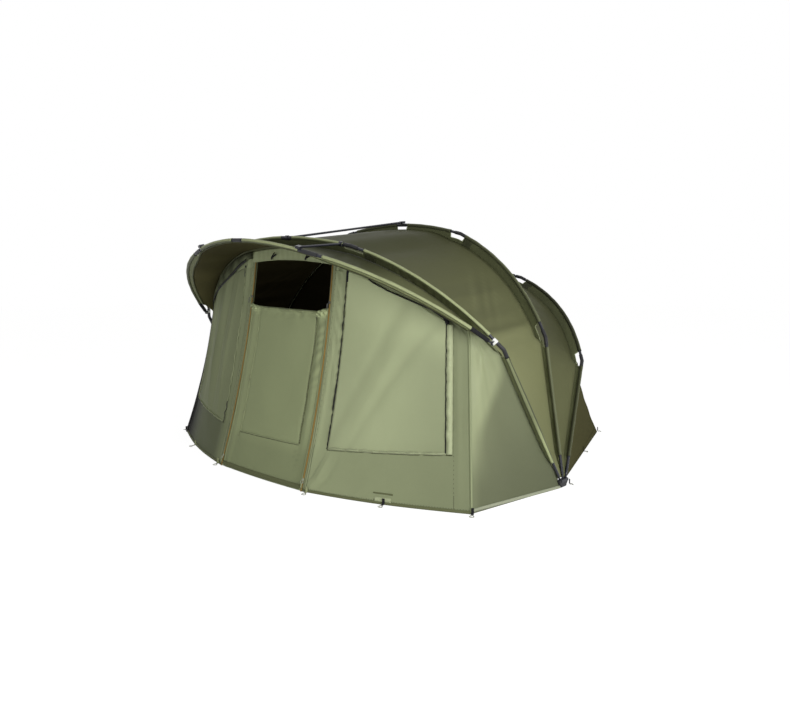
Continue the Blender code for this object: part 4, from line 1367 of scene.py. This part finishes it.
def doorPoint(share, row, out=0.0):
    z = door["lift"] + (front["doorHeight"] - door["lift"]) * row
    key = keyAt(share, z)
    place = ownSide(share, wallPlain(abs(share), key))
    edge = wallPlain(1.0, keyAt(1.0, z)).x
    place.x *= (edge - door["gap"]) / edge
    place.y += door["forward"]
    inner = fall(0.93, 0.995, abs(share))
    place.z -= door["droop"] * fall(0.74, 1.0, abs(share)) * smooth(0.92, 1.0, row)
    relief = ripple(place, 4.0, 21.0) * 0.007 * smooth(0, 0.1, row)
    seam = door["seam"]
    relief += 0.007 * bell(share, seam + 0.10, 0.05) * smooth(0.15, 0.4, row)
    relief -= 0.006 * bell(share, seam, 0.030) * smooth(0.18, 0.26, row)
    relief -= 0.003 * bell(share, door["leftSeam"], 0.03) * smooth(0.15, 0.25, row)
    relief += 0.005 * bell(share, -0.86, 0.05)
    relief -= 0.004 * bell(row, door["lowSeam"], 0.010) * fall(0.74, 0.78, abs(share))
    relief += ripple(place, 22.0, 5.0) * 0.008 * bell(row, 0.965, 0.035) * inner
    relief += 0.010 * bell(row, 0.985, 0.012) * inner
    curled = smooth(0.70, 0.82, abs(share)) * fall(0.94, 0.99, abs(share)) * smooth(0.93, 0.97, row)
    relief += (0.016 + 0.010 * math.sin(share * 90 + row * 140)) * curled
    relief += ripple(place, 13.0, 2.0) * 0.006 * bell(row, 0.08, 0.07) * bell(share, 0.75, 0.2)
    for number in range(door["creases"]):
        at = 0.42 + 0.11 * number
        relief += 0.003 * bell(row - 0.35 * (share - 0.9), at, 0.012) * bell(share, 0.90, 0.07)
    out = out + relief * inner
    return place + wallOut(abs(share), key).lerp(Vector((0, -1, 0)), 0.5) * out


def doorPaintedLight(share, row):  # painted light on the curled upper edge, painted light and shade on the creases beside the right seam, painted shade along the foot
    curled = smooth(0.70, 0.80, abs(share)) * smooth(0.945, 0.965, row)
    low = max(math.sin(row * 190 + share * 30), 0) * bell(share, 0.74, 0.07)
    creased = 0.15 * math.sin(row * 105 - share * 26 + 2 * math.sin(row * 23))
    creased *= smooth(0.775, 0.80, share) * smooth(0.45, 0.7, row)
    creased -= 0.04 * smooth(0.66, 0.80, share) + 0.14 * fall(0.15, 0.25, row)
    creased -= 0.14 * low * bell(row, 0.17, 0.06)
    return creased + curled * (0.28 + 0.25 * math.sin(share * 70 + row * 60))


rows = spread([0, 0.9, 1], [60, 16])
builder = clothGrid(spread([-1, 0, 1], [36, 36]), rows, doorPoint, tone=doorPaintedLight)
makeSheet("doorPanel", builder, ["door", "lining"], "door", "cloth", nodes=["door"])

# Window covers

cover = {
    "lift": 0.0032,
    "marginShare": 0.0175,
    "lean": 0.0150,
    "topKey": 3.25,
    "belly": 0.016,
    # folds: how far out, width, height, slant on the right one
    "right": ((0.37, 0.07, -0.006, 0.84), (0.63, 0.05, -0.004, 0.98), (0.50, 0.05, 0.003, 0.84)),
    "left": (
        (0.15, 0.035, 0.010), (0.30, 0.04, -0.012), (0.44, 0.05, 0.012),
        (0.66, 0.05, -0.010), (0.82, 0.04, 0.010),
    ),
}


def coverPoint(share, row, out=0.0):  # share 0 to 1 from the zip side out, row 0 to 1
    part = abs(share)
    low = windowSpan[0] - cover["marginShare"] + cover["lean"] * max(row, 0)
    at = low + (windowSpan[1] + cover["marginShare"] - low) * part
    z = sillAt(at) - front["margin"]
    bottom = keyAt(at, z)
    key = bottom + (cover["topKey"] - bottom) * row
    place = wallPlain(at, key)
    inner = arch(part) * arch(row)
    relief = cover["belly"] * inner
    if share >= 0:
        for middle, wide, high, slant in cover["right"]:
            relief += high * bell(part - slant * (row - 0.5), middle, wide) * inner
    else:
        bent = part - 0.05 * math.sin(row * 5)
        relief += folded(cover["left"], bent) * arch(min(row * 1.15, 1))
    place = place + wallOut(at, key) * (out + cover["lift"] + relief)
    tug = ripple(place, 24.0, 6.0) * 0.004 * smooth(0.90, 1.0, row) * smooth(0.3, 0.6, part)
    tug += ripple(place, 5.0, 16.0) * 0.004 * inner
    place += wallOut(at, key) * (tug + abs(tug))
    if share < 0:
        place.x -= leftDraw(at, key)
    return ownSide(share, place)


def coverPaintedLight(share, row):  # painted light and shade: the right cover paler towards its top and darker in slanting bands, the left one in soft upright waves
    if share < 0:
        waves = 0.16 * bell(-share, 0.72, 0.06) + 0.10 * bell(-share, 0.36, 0.05)
        waves -= 0.12 * bell(-share, 0.50, 0.06)
        corner = 0.34 * smooth(0.6, 1.0, -share) * fall(0.1, 0.6, row)
        return -0.16 + waves * arch(row) - corner
    pulled = max(math.sin(share * 62 + row * 30 + 2 * math.sin(share * 17)), 0)
    bands = 0.34 * pulled * smooth(0.90, 0.97, row) * smooth(0.28, 0.5, share)
    bands += 0.13 * bell(share - 0.84 * (row - 0.5), 0.37, 0.055)
    bands += 0.07 * bell(share - 0.98 * (row - 0.5), 0.63, 0.035)
    bands += 0.33 * smooth(0.35, 1.0, share) + 0.05 * fall(0.0, 0.15, row)
    return 0.10 + 0.62 * smooth(0.50, 1.0, row) - bands


for hand, side in hands:
    across = sorted(side * number for number in even(64, 0.0001, 1))
    rows = spread([0, 0.88, 1], [60, 16])
    builder = clothGrid(across, rows, coverPoint, tone=coverPaintedLight)
    node = f"window_cover_{hand.lower()}"
    # Painted light: the right cover takes the paler cover cloth, the left one the wall cloth
    finish = "cover" if side > 0 else "wall"
    makeSheet(f"windowCover{hand}", builder, [finish, "lining"], node, "cloth", nodes=[node])

# Side panels. across runs 0 to 1 from the crease of the front wall to the pole

sidePanel = {
    "topBelow": 0.050,
    "seamShare": 0.75,
    "seamFrom": 0.013,
    "endX": 1.552,
    "endY": 0.030,
    "crease": 1.99,
    "out": (0.95, -0.25, 0.2),
}


def sidePoint(across, up, side=1, out=0.0):
    head = wallHead(sidePanel["crease"]).z
    top = head - sidePanel["topBelow"] * across
    legTop = frontRib.elbow + front["aboveElbow"] - sidePanel["topBelow"]
    row = keyAt(sidePanel["crease"], max(up * top, 0.001))
    near = wallPlain(sidePanel["crease"], row)
    if side < 0:
        near.x -= leftDraw(sidePanel["crease"], row)
    low = front["hem"] / top
    share = max(up - low, 0) / (1 - low)
    s = cloth["start"] + (legTop - cloth["start"]) * share
    inset = sidePanel["seamFrom"]
    seam = finDepth(frontRib, cloth["frontFin"], s) * sidePanel["seamShare"]
    inset += (seam - inset) * smooth(0.04, 0.3, s)
    far = frontRib.point(s, inset, cloth["faceOff"])
    ground = Vector((sidePanel["endX"], hubMiddle.y - sidePanel["endY"], front["lift"]))
    far = ground.lerp(far, smooth(0, low, up))
    place = near.lerp(far, across)
    normal = Vector(sidePanel["out"]).normalized()
    belly = arch(across) * smooth(0, 0.15, up) * fall(0.9, 1.0, up)
    relief = 0.012 * bell(across, 0.05 + 0.60 * up ** 3, 0.14) * belly
    relief -= 0.020 * bell(across, 0.62, 0.3) * belly
    relief += ripple(place, 4.0, 31.0) * 0.006 * belly
    place += normal * (relief + out)
    place.z = max(place.z, front["lift"])
    return ownSide(side, place)


def sidePaintedLight(across, up):  # painted highlight: the pale wedge that runs down from the top along the crease, with painted shade low down and towards the pole
    edge = 0.07 + 0.92 * smooth(0.36, 0.90, up)
    wedge = fall(edge - 0.09, edge + 0.20, across) * smooth(0.10, 0.42, up)
    streak = 0.03 * math.sin(across * 40) * wedge
    low = fall(0.05, 0.60, up)
    base = 0.22 * smooth(0.2, 0.6, across) * (1 - 0.5 * up) * (1 - low) + 0.06
    foot = (0.25 + 0.12 * across) * low * smooth(0.0, 0.12, across)
    return 0.62 * wedge + streak - base - foot


sidePoints = {
    side: lambda across, up, out=0.0, side=side: sidePoint(across, up, side, out) for side in (1, -1)
}
for hand, side in hands:
    rows = spread([0, 0.08, 1], [6, 48])
    builder = clothGrid(even(40), rows, sidePoints[side], tone=sidePaintedLight)
    nodes = [f"side_panel_{hand.lower()}"]
    makeSheet(f"sidePanel{hand}", builder, ["side", "lining"], "main", "cloth", nodes=nodes)
print("front wall, door, covers and side panels made")

# Zips, seams, hems and flaps of the front wall

trims = {
    "coil": 0.0095,
    "coilCrown": 0.0030,
    "tape": 0.014,
    "pitch": 0.0115,
    "stitch": 0.0070,
    "thread": 0.0020,
    "hem": 0.018,
    "hemStitch": 1.4,  # the stitches' pitch against that of the zips
    "seamStitch": 1.5,
}
pitch, stitch, thread = trims["pitch"], trims["stitch"], trims["thread"]
doorSeams = {
    "Right": ((door["seam"], door["lowSeam"]), (0.745, 0.955)),
    "Left": ((-door["leftSeam"], 0.225), (-door["leftSeam"], 0.95)),
    "Low": ((door["leftSeam"], 0.225), (door["seam"], door["lowSeam"])),
}
for hand, side in hands:
    right = side > 0
    seam = doorSeams[hand]
    sewn = (0.0036, "thread") if right else (0.0014, "paleThread")
    # ribbon: width, finish, body, slot, steps, crown, lift, roughness
    # stitches: pitch, length, width, finish, body, slot, lift, aside, wander
    follow((
        (ribbon, "doorZip", wallPoint, (1, 0.0), (1, 4.0),
            trims["coil"], "doorZip", "main", "zip", 150, trims["coilCrown"], 0.0022),
        (ribbon, "zipTape", wallPoint, (1.022, 0.0), (1.022, 4.0),
            trims["tape"], "wall", "main", "cloth", 120, 0.0, 0.0012),
        (stitches, "zipStitches", wallPoint, (1.031, 0.05), (1.031, 4.0),
            pitch, stitch, thread * 0.7, "thread", "main", "cloth", 0.0026),
        (ribbon, "doorTape", doorPoint, (0.968, 0.0), (0.968, 0.995),
            trims["tape"], "door", "door", "cloth", 120, 0.0, 0.0012),
        (ribbon, "zipBacking", wallPoint, (1, 0.35), (1, 4.02),
            0.030, "darkPiping", "main", "cloth", 120, 0.0, -0.0042),
        (ribbon, "doorSeam", doorPoint, *seam,
            0.010, "door", "door", "cloth", 110, 0.003, 0.0008, 0.004),
        (stitches, "doorStitches", doorPoint, *seam,
            0.017, 0.0125, *sewn, "door", "cloth", 0.0034, -0.0045 * side, 0.0012),
    ), hand, side)
tacks = ((0.19, 0.028), (0.52, 0.045), (0.33, 0.02))  # row and length
follow((
    # Painted shade: a dark strip along the right door seam
    (ribbon, "doorSeamShade", doorPoint, (0.7655, 0.24), (0.7505, 0.95),
        0.0060, "darkWebbing", "door", "cloth", 160, 0.001, 0.0036, 0.006),
    (ribbon, "doorSeamLow", doorPoint, *doorSeams["Low"],
        0.010, "door", "door", "cloth", 80, 0.003, 0.0008, 0.004),
    (stitches, "doorStitchesLow", doorPoint, *doorSeams["Low"],
        0.015, 0.0125, 0.0030, "thread", "door", "cloth", 0.0034, 0.0045, 0.0008),
    *((ribbon, f"barTack{number}", doorPoint, (-0.735, row), (-0.725, row + tall),
        0.006, "paleThread", "door", "cloth", 6, 0.001, 0.004)
        for number, (row, tall) in enumerate(tacks)),
    (ribbon, "doorHem", doorPoint, (-0.995, 0.016), (0.995, 0.016),
        0.036, "darkWebbing", "door", "webbing", 80, 0.001, 0.0014),
    (ribbon, "doorUpperHem", doorPoint, (-0.97, 0.990), (0.97, 0.990),
        0.014, "door", "door", "cloth", 90, 0.004, 0.001, 0.012),
))

# The zip of the window's inner edge, the zip below its cover, and the strap at its top corner
window = {"beside": 0.004, "footBelow": 0.018, "sillBelow": 0.024, "zipTop": 2.75, "top": 3.3}
inner = windowSpan[0] - cover["marginShare"] - window["beside"]
outer = windowSpan[1] + cover["marginShare"]
upper = inner + cover["lean"]
foot = keyAt(inner, sillAt(inner) - window["footBelow"])
middle = inner + cover["lean"] * ((window["zipTop"] - foot) / (window["top"] - foot))
sill = [(share, keyAt(share, sillAt(share) - window["sillBelow"])) for share in (inner, outer)]
for hand, side in hands:
    right = side > 0
    pale = "darkPiping" if right else "wall"
    black = "blackZip" if right else "wall"
    zipStop = (middle, window["zipTop"]) if right else (inner, 2.12)
    body = f"window_cover_{hand.lower()}"
    at = 0.979 if right else 0.962
    # Painted light: the right rolled flap takes the paler flap cloth
    roll = (0.036, "flap", 0.013, 0.010) if right else (0.030, "wall", 0.003, 0.002)
    follow((
        (ribbon, "wallHem", wallPoint, (1.002, 0.11), (1.995, 0.11),
            trims["hem"], "darkWebbing", "main", "webbing", 120, 0.001, 0.0014),
        (stitches, "wallHemStitches", wallPoint, (1.01, 0.24), (1.99, 0.24),
            pitch * trims["hemStitch"], stitch, thread * 0.8, "thread", "main", "cloth", 0.001),
        (stitches, "wallSeam", wallPoint, (1.905, 0.12), (1.905, 1.93),
            pitch * trims["seamStitch"], stitch * 1.2, thread, "thread", "main", "cloth", 0.001),
        (ribbon, "wallCrease", wallPoint, (1.994, 0.06), (1.994, 5.0),
            0.016, "wall", "main", "cloth", 120, 0.004, 0.0),
    ), hand, side)
    follow((
        # Painted highlight along the foot of the side panels
        (ribbon, "sideHem", sidePoints[side], (0.0, 0.018), (1.0, 0.018),
            0.018, "hemTape", "main", "webbing", 60, 0.002, 0.0016),
    ), hand)
    follow((
        (ribbon, "windowZipTape", wallPoint, (inner, foot), (upper, window["top"]),
            0.016, pale, "main", "cloth", 140, 0.003, 0.001, 0.008),
        (ribbon, "windowZip", wallPoint, (inner, foot), zipStop,
            0.0085, "blackZip", "main", "zip", 140, 0.003, 0.0042, 0.010),
        (ribbon, "windowZipTop", wallPoint, (middle - 0.002, window["zipTop"]), (upper, window["top"]),
            0.0036, black, "main", "zip", 60, 0.002, 0.0042, 0.008),
        (ribbon, "sillZip", wallPoint, *sill,
            0.0042, "darkPiping", "main", "zip", 120, 0.002, 0.0006, 0.006),
        (ribbon, "windowStrap", wallPoint, (1.140, 2.95), (1.143, 3.75),
            0.016, "strap", "main", "webbing", 16, 0.001, 0.006),
        (ribbon, "outerStrap", wallPoint, (1.872, 3.2), (1.845, 4.4),
            0.024, "strap", "main", "webbing", 16, 0.001, 0.010),
        # Painted highlight: the right cover's ridge takes the paler flap cloth
        (ribbon, "coverRidge", coverPoint, (0.012, 0.008), (0.955, 0.008),
            0.015, "flap" if right else "wall", body, "cloth", 100, 0.006, 0.001, 0.010),
        (stitches, "coverStitches", coverPoint, (0.02, 0.030), (0.95, 0.030),
            pitch, stitch, thread * 0.8, "paleThread", body, "cloth", 0.001),
        (ribbon, "rolledFlap", coverPoint, (at, 0.0), (at, 0.995),
            *roll[:2], body, "cloth", 160, roll[2], 0.002, roll[3], 0.002, 8),
        (ribbon, "flapZip", coverPoint, (at - 0.027, 0.0), (at - 0.027, 0.99),
            0.006, black, body, "zip", 120, 0.002, 0.002, 0.004),
    ), hand, side)
follow((
    (ribbon, "hemPatch", wallPoint, (1.475, 0.32), (1.57, 0.32),
        0.026, "flap", "main", "webbing", 20, 0.001, 0.0022),
    (ribbon, "hemPatchEdge", wallPoint, (1.465, 0.70), (1.58, 0.70),
        0.008, "darkWebbing", "main", "webbing", 20, 0.001, 0.0018, 0.004),
))

# The long black zip between the wall and the hood: shares and heights along it

hoodZip = (
    (1.08, 1.400), (1.14, 1.385), (1.26, 1.340), (1.36, 1.282), (1.47, 1.236),
    (1.66, 1.172), (1.77, 1.132), (1.83, 1.094), (1.93, 1.052), (1.985, 1.020),
)
# The stretch of it that is made, how far it hangs, its width, lift and roughness
hoodZipRows = {
    "Right": (1.33, 1.93, 0.002, 0.008, 0.022, 0.010),
    "Left": (1.12, 1.985, 0.0, 0.019, 0.014, 0.003),
}


def hoodZipAt(share, drop=0.0):
    for (near, high), (far, low) in zip(hoodZip, hoodZip[1:]):
        if abs(share) <= far:
            break
    part = min(max((abs(share) - near) / (far - near), 0), 1)
    return keyAt(share, high + (low - high) * part - drop)


def zipFlap(share, down, side=1, out=0.0):  # from the hood's seam down to the zip
    low = wallPoint(side * share, hoodZipAt(share), 0.006 + out)
    top = wallPoint(side * share, 5.0, 0.010 + out)
    place = top.lerp(low, down)
    bulge = 0.006 * ripple(place, 22.0, 5.0) * arch(min(down * 1.3, 1))
    return place + Vector((0, -1, 0)) * (0.014 * arch(down) + bulge)


for hand, side in hands:
    start, stop, drop, width, lift, rough = hoodZipRows[hand]

    def zipRun(share, unused, out=0.0):
        return wallPoint(share, hoodZipAt(share, drop), out)

    line = lineOn(zipRun, (start, 0.0), (stop, 0.0), side)
    ribbon(f"hoodZip{hand}", line, width, "blackZip", "main", "zip", 120, 0.004, lift, rough)

    # Painted shade: the right flap darker downwards, the left one much darker all over
    def flapPaintedLight(share, down):
        return -0.12 * down if side > 0 else -0.66 + 0.1 * math.sin(share * 40)

    across, rows = even(90, 1.04, 1.985), even(8)
    builder = clothGrid(across, rows, lambda u, v: zipFlap(u, v, side), tone=flapPaintedLight)
    makeSheet(f"hoodFlap{hand}", builder, ["wall"], "main", "cloth")
crease = lineOn(wallPoint, (-1.978, 0.05), (-1.978, 4.9))
ribbon("creaseZipLeft", crease, 0.030, "blackZip", "main", "zip", 160, 0.007, 0.004)
print("zips, seams and flaps made")

# Sliders, toggles, peg loops and other small pieces


def bevelEdges(builder, angle, offset, segments):  # the edges sharper than the angle
    sharp = [edge for edge in builder.edges if edge.calc_face_angle(0) > angle]
    bmesh.ops.bevel(
        builder, geom=sharp, offset=offset, segments=segments, profile=0.5, affect="EDGES", material=-1
    )


def plate(name, centre, ahead, aside, normal, size, finish, body, slot, bevel, bend):
    builder = bmesh.new()
    turn = turned(ahead, aside, normal)
    bmesh.ops.create_cube(builder, size=1.0, matrix=Matrix.Diagonal((*size, 1)))
    bmesh.ops.subdivide_edges(builder, edges=builder.edges[:], cuts=2, use_grid_fill=True)
    for vert in builder.verts:
        share = vert.co.x / size[0] * 2
        vert.co.y *= 1 - small["narrowing"] * abs(share) ** 3
        vert.co.z += bend * (1 - share * share)
    bevelEdges(builder, 1.0, bevel, 2)
    builder.transform(Matrix.Translation(centre) @ turn)
    return linkPiece(name, builder, [finish], body, slot)


small = {
    "slider": (0.018, 0.012, 0.006),
    "tab": (0.030, 0.009, 0.0022),
    "sliderOut": 0.0075,
    "narrowing": 0.22,
    "pegRing": (0.0085, 0.0016),
    "pegCord": 0.0016,
    "pegStart": 0.040,
    "pegDrop": 0.037,
    "pegOff": 0.004,
    "pegWidth": 0.016,
    "cordHalf": 0.009,
}
# How far the tab and the ring hang below a slider, how far out, and the ring's two radii
sliders = {
    "lower": {
        "z": 0.070, "tab": 0.037, "ring": 0.014, "out": 0.005, "radii": (0.0085, 0.0028),
        "finish": "greyGreen", "tabFinish": "webbing",
    },
    "upper": {
        "z": 1.147, "tab": 0.022, "ring": 0.040, "out": 0.018, "radii": (0.006, 0.0012),
        "finish": "dullMetal", "tabFinish": "dullMetal",
    },
}


def zipSlider(name, node, side, size):
    key, finish = keyAt(1.0, size["z"]), size["finish"]
    point = wallPoint(side, key, small["sliderOut"])
    above = wallPoint(side, keyAt(1.0, size["z"] + 0.03), small["sliderOut"])
    ahead = (above - point).normalized()
    normal = (wallPoint(side, key, 0.02) - point).normalized()
    normal = (normal - ahead * normal.dot(ahead)).normalized()
    turn = (ahead, normal.cross(ahead), normal)
    piece = plate(name, point, *turn, small["slider"], finish, node, "zip", 0.0016, 0.001)
    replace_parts(piece, node)
    for part in sorted(("tab", "ring"), key=size.get):
        hang = point - ahead * size[part] + normal * size["out"]
        if part == "ring":
            ring(name + "Ring", hang, normal, *size["radii"], finish, node, "zip")
        else:
            colour = size["tabFinish"]
            plate(name + "Tab", hang, *turn, small["tab"], colour, node, "zip", 0.0008, 0.0015)


for hand, side in hands:
    for level, size in sliders.items():
        zipSlider(f"{level}Slider{hand}", f"{level}_slider_{hand.lower()}", side, size)

# Toggles: each one's share of the wall, the row keys of its ends, and how far it bows out
toggles = {
    "shares": (-0.42, 0.46),
    "top": 4.66,
    "foot": 4.02,
    "lean": 0.06,
    "radius": 0.0062,
    "bow": 0.006,
    "bandHalf": 0.045,
}
for number, share in enumerate(toggles["shares"], 1):
    top = wallPoint(share, toggles["top"], 0.012)
    low = wallPoint(share - toggles["lean"], toggles["foot"], 0.016)
    bend = Vector((0, -toggles["bow"], 0))

    def toggleRadius(t):
        ends = math.sqrt(max(1 - (2 * t - 1) ** 6, 0.02))
        return toggles["radius"] * (0.55 + 0.45 * bell(t, 0.7, 0.22)) * ends

    def toggleLine(t):
        return top.lerp(low, t) + bend * 4 * t * (1 - t)

    sweep(f"toggle{number}", toggleLine, toggleRadius, "strap", "main", "plastic")
    half = toggles["bandHalf"]
    band = lineOn(wallPoint, (share - half, 4.30), (share + half, 4.48))
    ribbon(f"toggleBand{number}", band, 0.010, "strap", "main", "webbing", 10, 0.004, 0.010)


def pegLoop(name, foot, outward, body, dark=False, reach=0.020, tail=0.030):
    outward = outward.normalized()
    aside = outward.cross(Vector((0, 0, 1)))
    off = small["pegOff"]
    start = Vector((foot.x, foot.y, small["pegStart"])) - outward * off

    def run(t, out=0.0):
        fallen = Vector((0, 0, -small["pegDrop"] * smooth(0, 0.75, t)))
        point = start + outward * (off + tail * smooth(0.45, 1.0, t)) + fallen
        normal = outward.lerp(Vector((0, 0, 1)), smooth(0.4, 1.0, t)).normalized()
        return point + normal * (out + 0.003), normal

    finish = "strap" if dark else "webbing"
    tab = ribbon(name + "Tab", run, small["pegWidth"], finish, body, "webbing", 14, 0.0008)
    major, minor = small["pegRing"]
    centre = start + outward * (tail + off + major)
    centre.z = minor + major * 0.3 + 0.001
    upright = (Vector((0, 0, 1)) + outward * 0.3).normalized()
    eye = ring(name + "Ring", centre, upright, major, minor, "metal", body, "plastic")

    def loop(t):
        angle = t * math.tau
        far = 0.5 * reach * (1 - math.cos(angle))
        beside = aside * (math.sin(angle) * small["cordHalf"] * (1 + far / reach))
        risen = Vector((0, 0, 0.002 * math.cos(angle)))
        return centre + outward * (far - off) + beside + risen

    radius = small["pegCord"]
    cord = sweep(name + "Cord", loop, lambda t: radius, "cordLoop", body, "webbing", 28, 6, caps=False)
    for piece in (tab, eye, cord) if body == "rear_rib" else ():
        foldBack(piece, "rear_rib_fold", rearRib)


# Peg loops of the front wall: name, share along its foot, direction, whether black
pegs = (
    ("FrontLeft", -2.0, (-1, 0.3), True),
    ("LeftWall", -1.57, (0.05, -1), False),
    ("LeftZip", -1.060, (0.45, -0.9), False),
    ("FrontRight", 2.0, (0.5, -0.85), True),
    ("RightZip", 1.040, (0.45, -0.9), False),
    ("RightWallOuter", 1.53, (0.35, -1), True),
)
for name, share, way, dark in pegs:
    foot = wallFoot(abs(share))
    place = Vector((math.copysign(foot.x, share), foot.y, 0))
    pegLoop(f"peg{name}", place, Vector((*way, 0)), "main", dark)
back = rearRib.elbow + (rearRib.end - rearRib.elbow) * 0.55
for name, s, dark in (
    ("Corner", rearRib.elbow, True), ("Side", rearRib.elbow * 0.55, True), ("Back", back, False)
):
    foot = rearGround(s)
    for hand, side in hands:
        place = Vector((side * foot.x, foot.y, 0))
        way = place - Vector((0, hubMiddle.y + 0.2, 0))
        pegLoop(f"pegRear{name}{hand}", place, way, "rear_rib", dark, 0.013, 0.014)
for hand, side in hands:
    place = Vector((side * (hubMiddle.x + 0.012), hubMiddle.y + 0.055, 0))
    pegLoop(f"pegHub{hand}", place, Vector((side * 0.6, 0.8, 0)), "main", True, 0.013, 0.010)

# Hubs: a moulded shell with sloping cheeks, ribbed on its outer side

hub = {"waist": 0.62, "taper": 0.25, "slope": 0.12, "bevel": 0.007}
hubRib = {"radius": 0.0016, "pitch": 0.022, "foot": 0.012, "short": 0.034, "in": 0.0015, "lean": 0.0065}
for hand, side in hands:
    node = f"hub_{hand.lower()}"
    low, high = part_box(node)
    centre = (low + high) / 2
    size = high - low
    builder = bmesh.new()
    place = Matrix.Translation(centre) @ Matrix.Diagonal((*size, 1))
    bmesh.ops.create_cube(builder, size=1.0, matrix=place)
    bmesh.ops.subdivide_edges(builder, edges=builder.edges[:], cuts=3, use_grid_fill=True)
    for vert in builder.verts:
        down = (high.z - vert.co.z) / size.z
        waist = 1 - (1 - hub["waist"]) * smooth(0.25, 1.0, down)
        vert.co.y = centre.y + (vert.co.y - centre.y) * waist
        vert.co.x = centre.x + (vert.co.x - centre.x) * (1 - hub["taper"] * smooth(0.3, 1.0, down))
        vert.co.z -= hub["slope"] * size.z * (1 - down) * abs(vert.co.y - centre.y) / size.y * 2
    bevelEdges(builder, 0.6, hub["bevel"], 3)
    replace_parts(linkPiece(f"hubShell{hand}", builder, ["plastic"], "main", "plastic"), node)
    for number in range(3):

        def ribLine(t):
            x = (high.x if side > 0 else low.x) - side * (hubRib["in"] + hubRib["lean"] * t)
            y = centre.y + (number - 1) * hubRib["pitch"]
            return Vector((x, y, low.z + hubRib["foot"] + (size.z - hubRib["short"]) * (1 - t)))

        name = f"hubRib{hand}{number}"
        sweep(name, ribLine, lambda t: hubRib["radius"], "plastic", "main", "plastic", 8, 8)
print("small pieces made")

# Hood


def hoodSurface(key, share):  # share 0 at the hood's fin, 1 at the front pole
    k = 1 - abs(key)
    s = cloth["hoodBare"] + (hoodRib.end - cloth["hoodBare"]) * k
    start = frontRib.elbow + front["hoodAboveElbow"]
    t = start + (frontRib.end - start) * k
    root = hoodRib.point(s, hoodDepth(s))
    seam = frontRib.point(t, cloth["hoodSeamInset"], cloth["faceOff"])
    inward = (inside - (root + seam) / 2).normalized()
    dip = cloth["hoodSag"] * 4 * share * (1 - share) * min(1, k * 2)
    return ownSide(key, root.lerp(seam, share) + inward * dip)


# Painted light towards both ends of the hood, most on the left, and painted shade on its right half near
# the crown
def hoodPaintedLight(key, share):
    if key < 0:
        waves = 0.12 * math.sin(key * 26) * smooth(0.2, 0.5, -key)
        return 0.75 * smooth(0.35, 0.85, -key) + waves
    dark = 0.50 * fall(0.40, 0.62, key) * smooth(0.0, 0.3, key)
    return 0.34 * smooth(0.50, 0.75, key) - dark


across = spread([-1, 0, 1], [80, 80])
builder = clothGrid(across, even(16), hoodSurface, tone=hoodPaintedLight)
finishList = ["hood", "hoodLining"]
piece = makeSheet("hoodCloth", builder, finishList, None, "roof_cloth", nodes=["hood_cloth"])
tuple(frontRib.point(frontRib.end, 0.06))
tuple(hoodRib.point(hoodRib.end, 0.06))
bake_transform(piece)
print("hood made")

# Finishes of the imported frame's own pieces

nodeFinishes = (
    (("hood_clip",), "paleClip"),
    (("hub_pins",), "pole"),
    (("hub_", "elbow_joint", "shoulder_joint", "centre_sleeve"), "plastic"),
    (("leg", "pole", "bar"), "pole"),
)
for piece in bpy.data.objects:
    if piece.type != "MESH" or "_" not in piece.name or piece.hide_render:
        continue
    for words, finish in nodeFinishes:
        if any(word in piece.name for word in words):
            piece.data.materials.clear()
            piece.data.materials.append(finishes[finish])
            break
print("frame pieces finished")
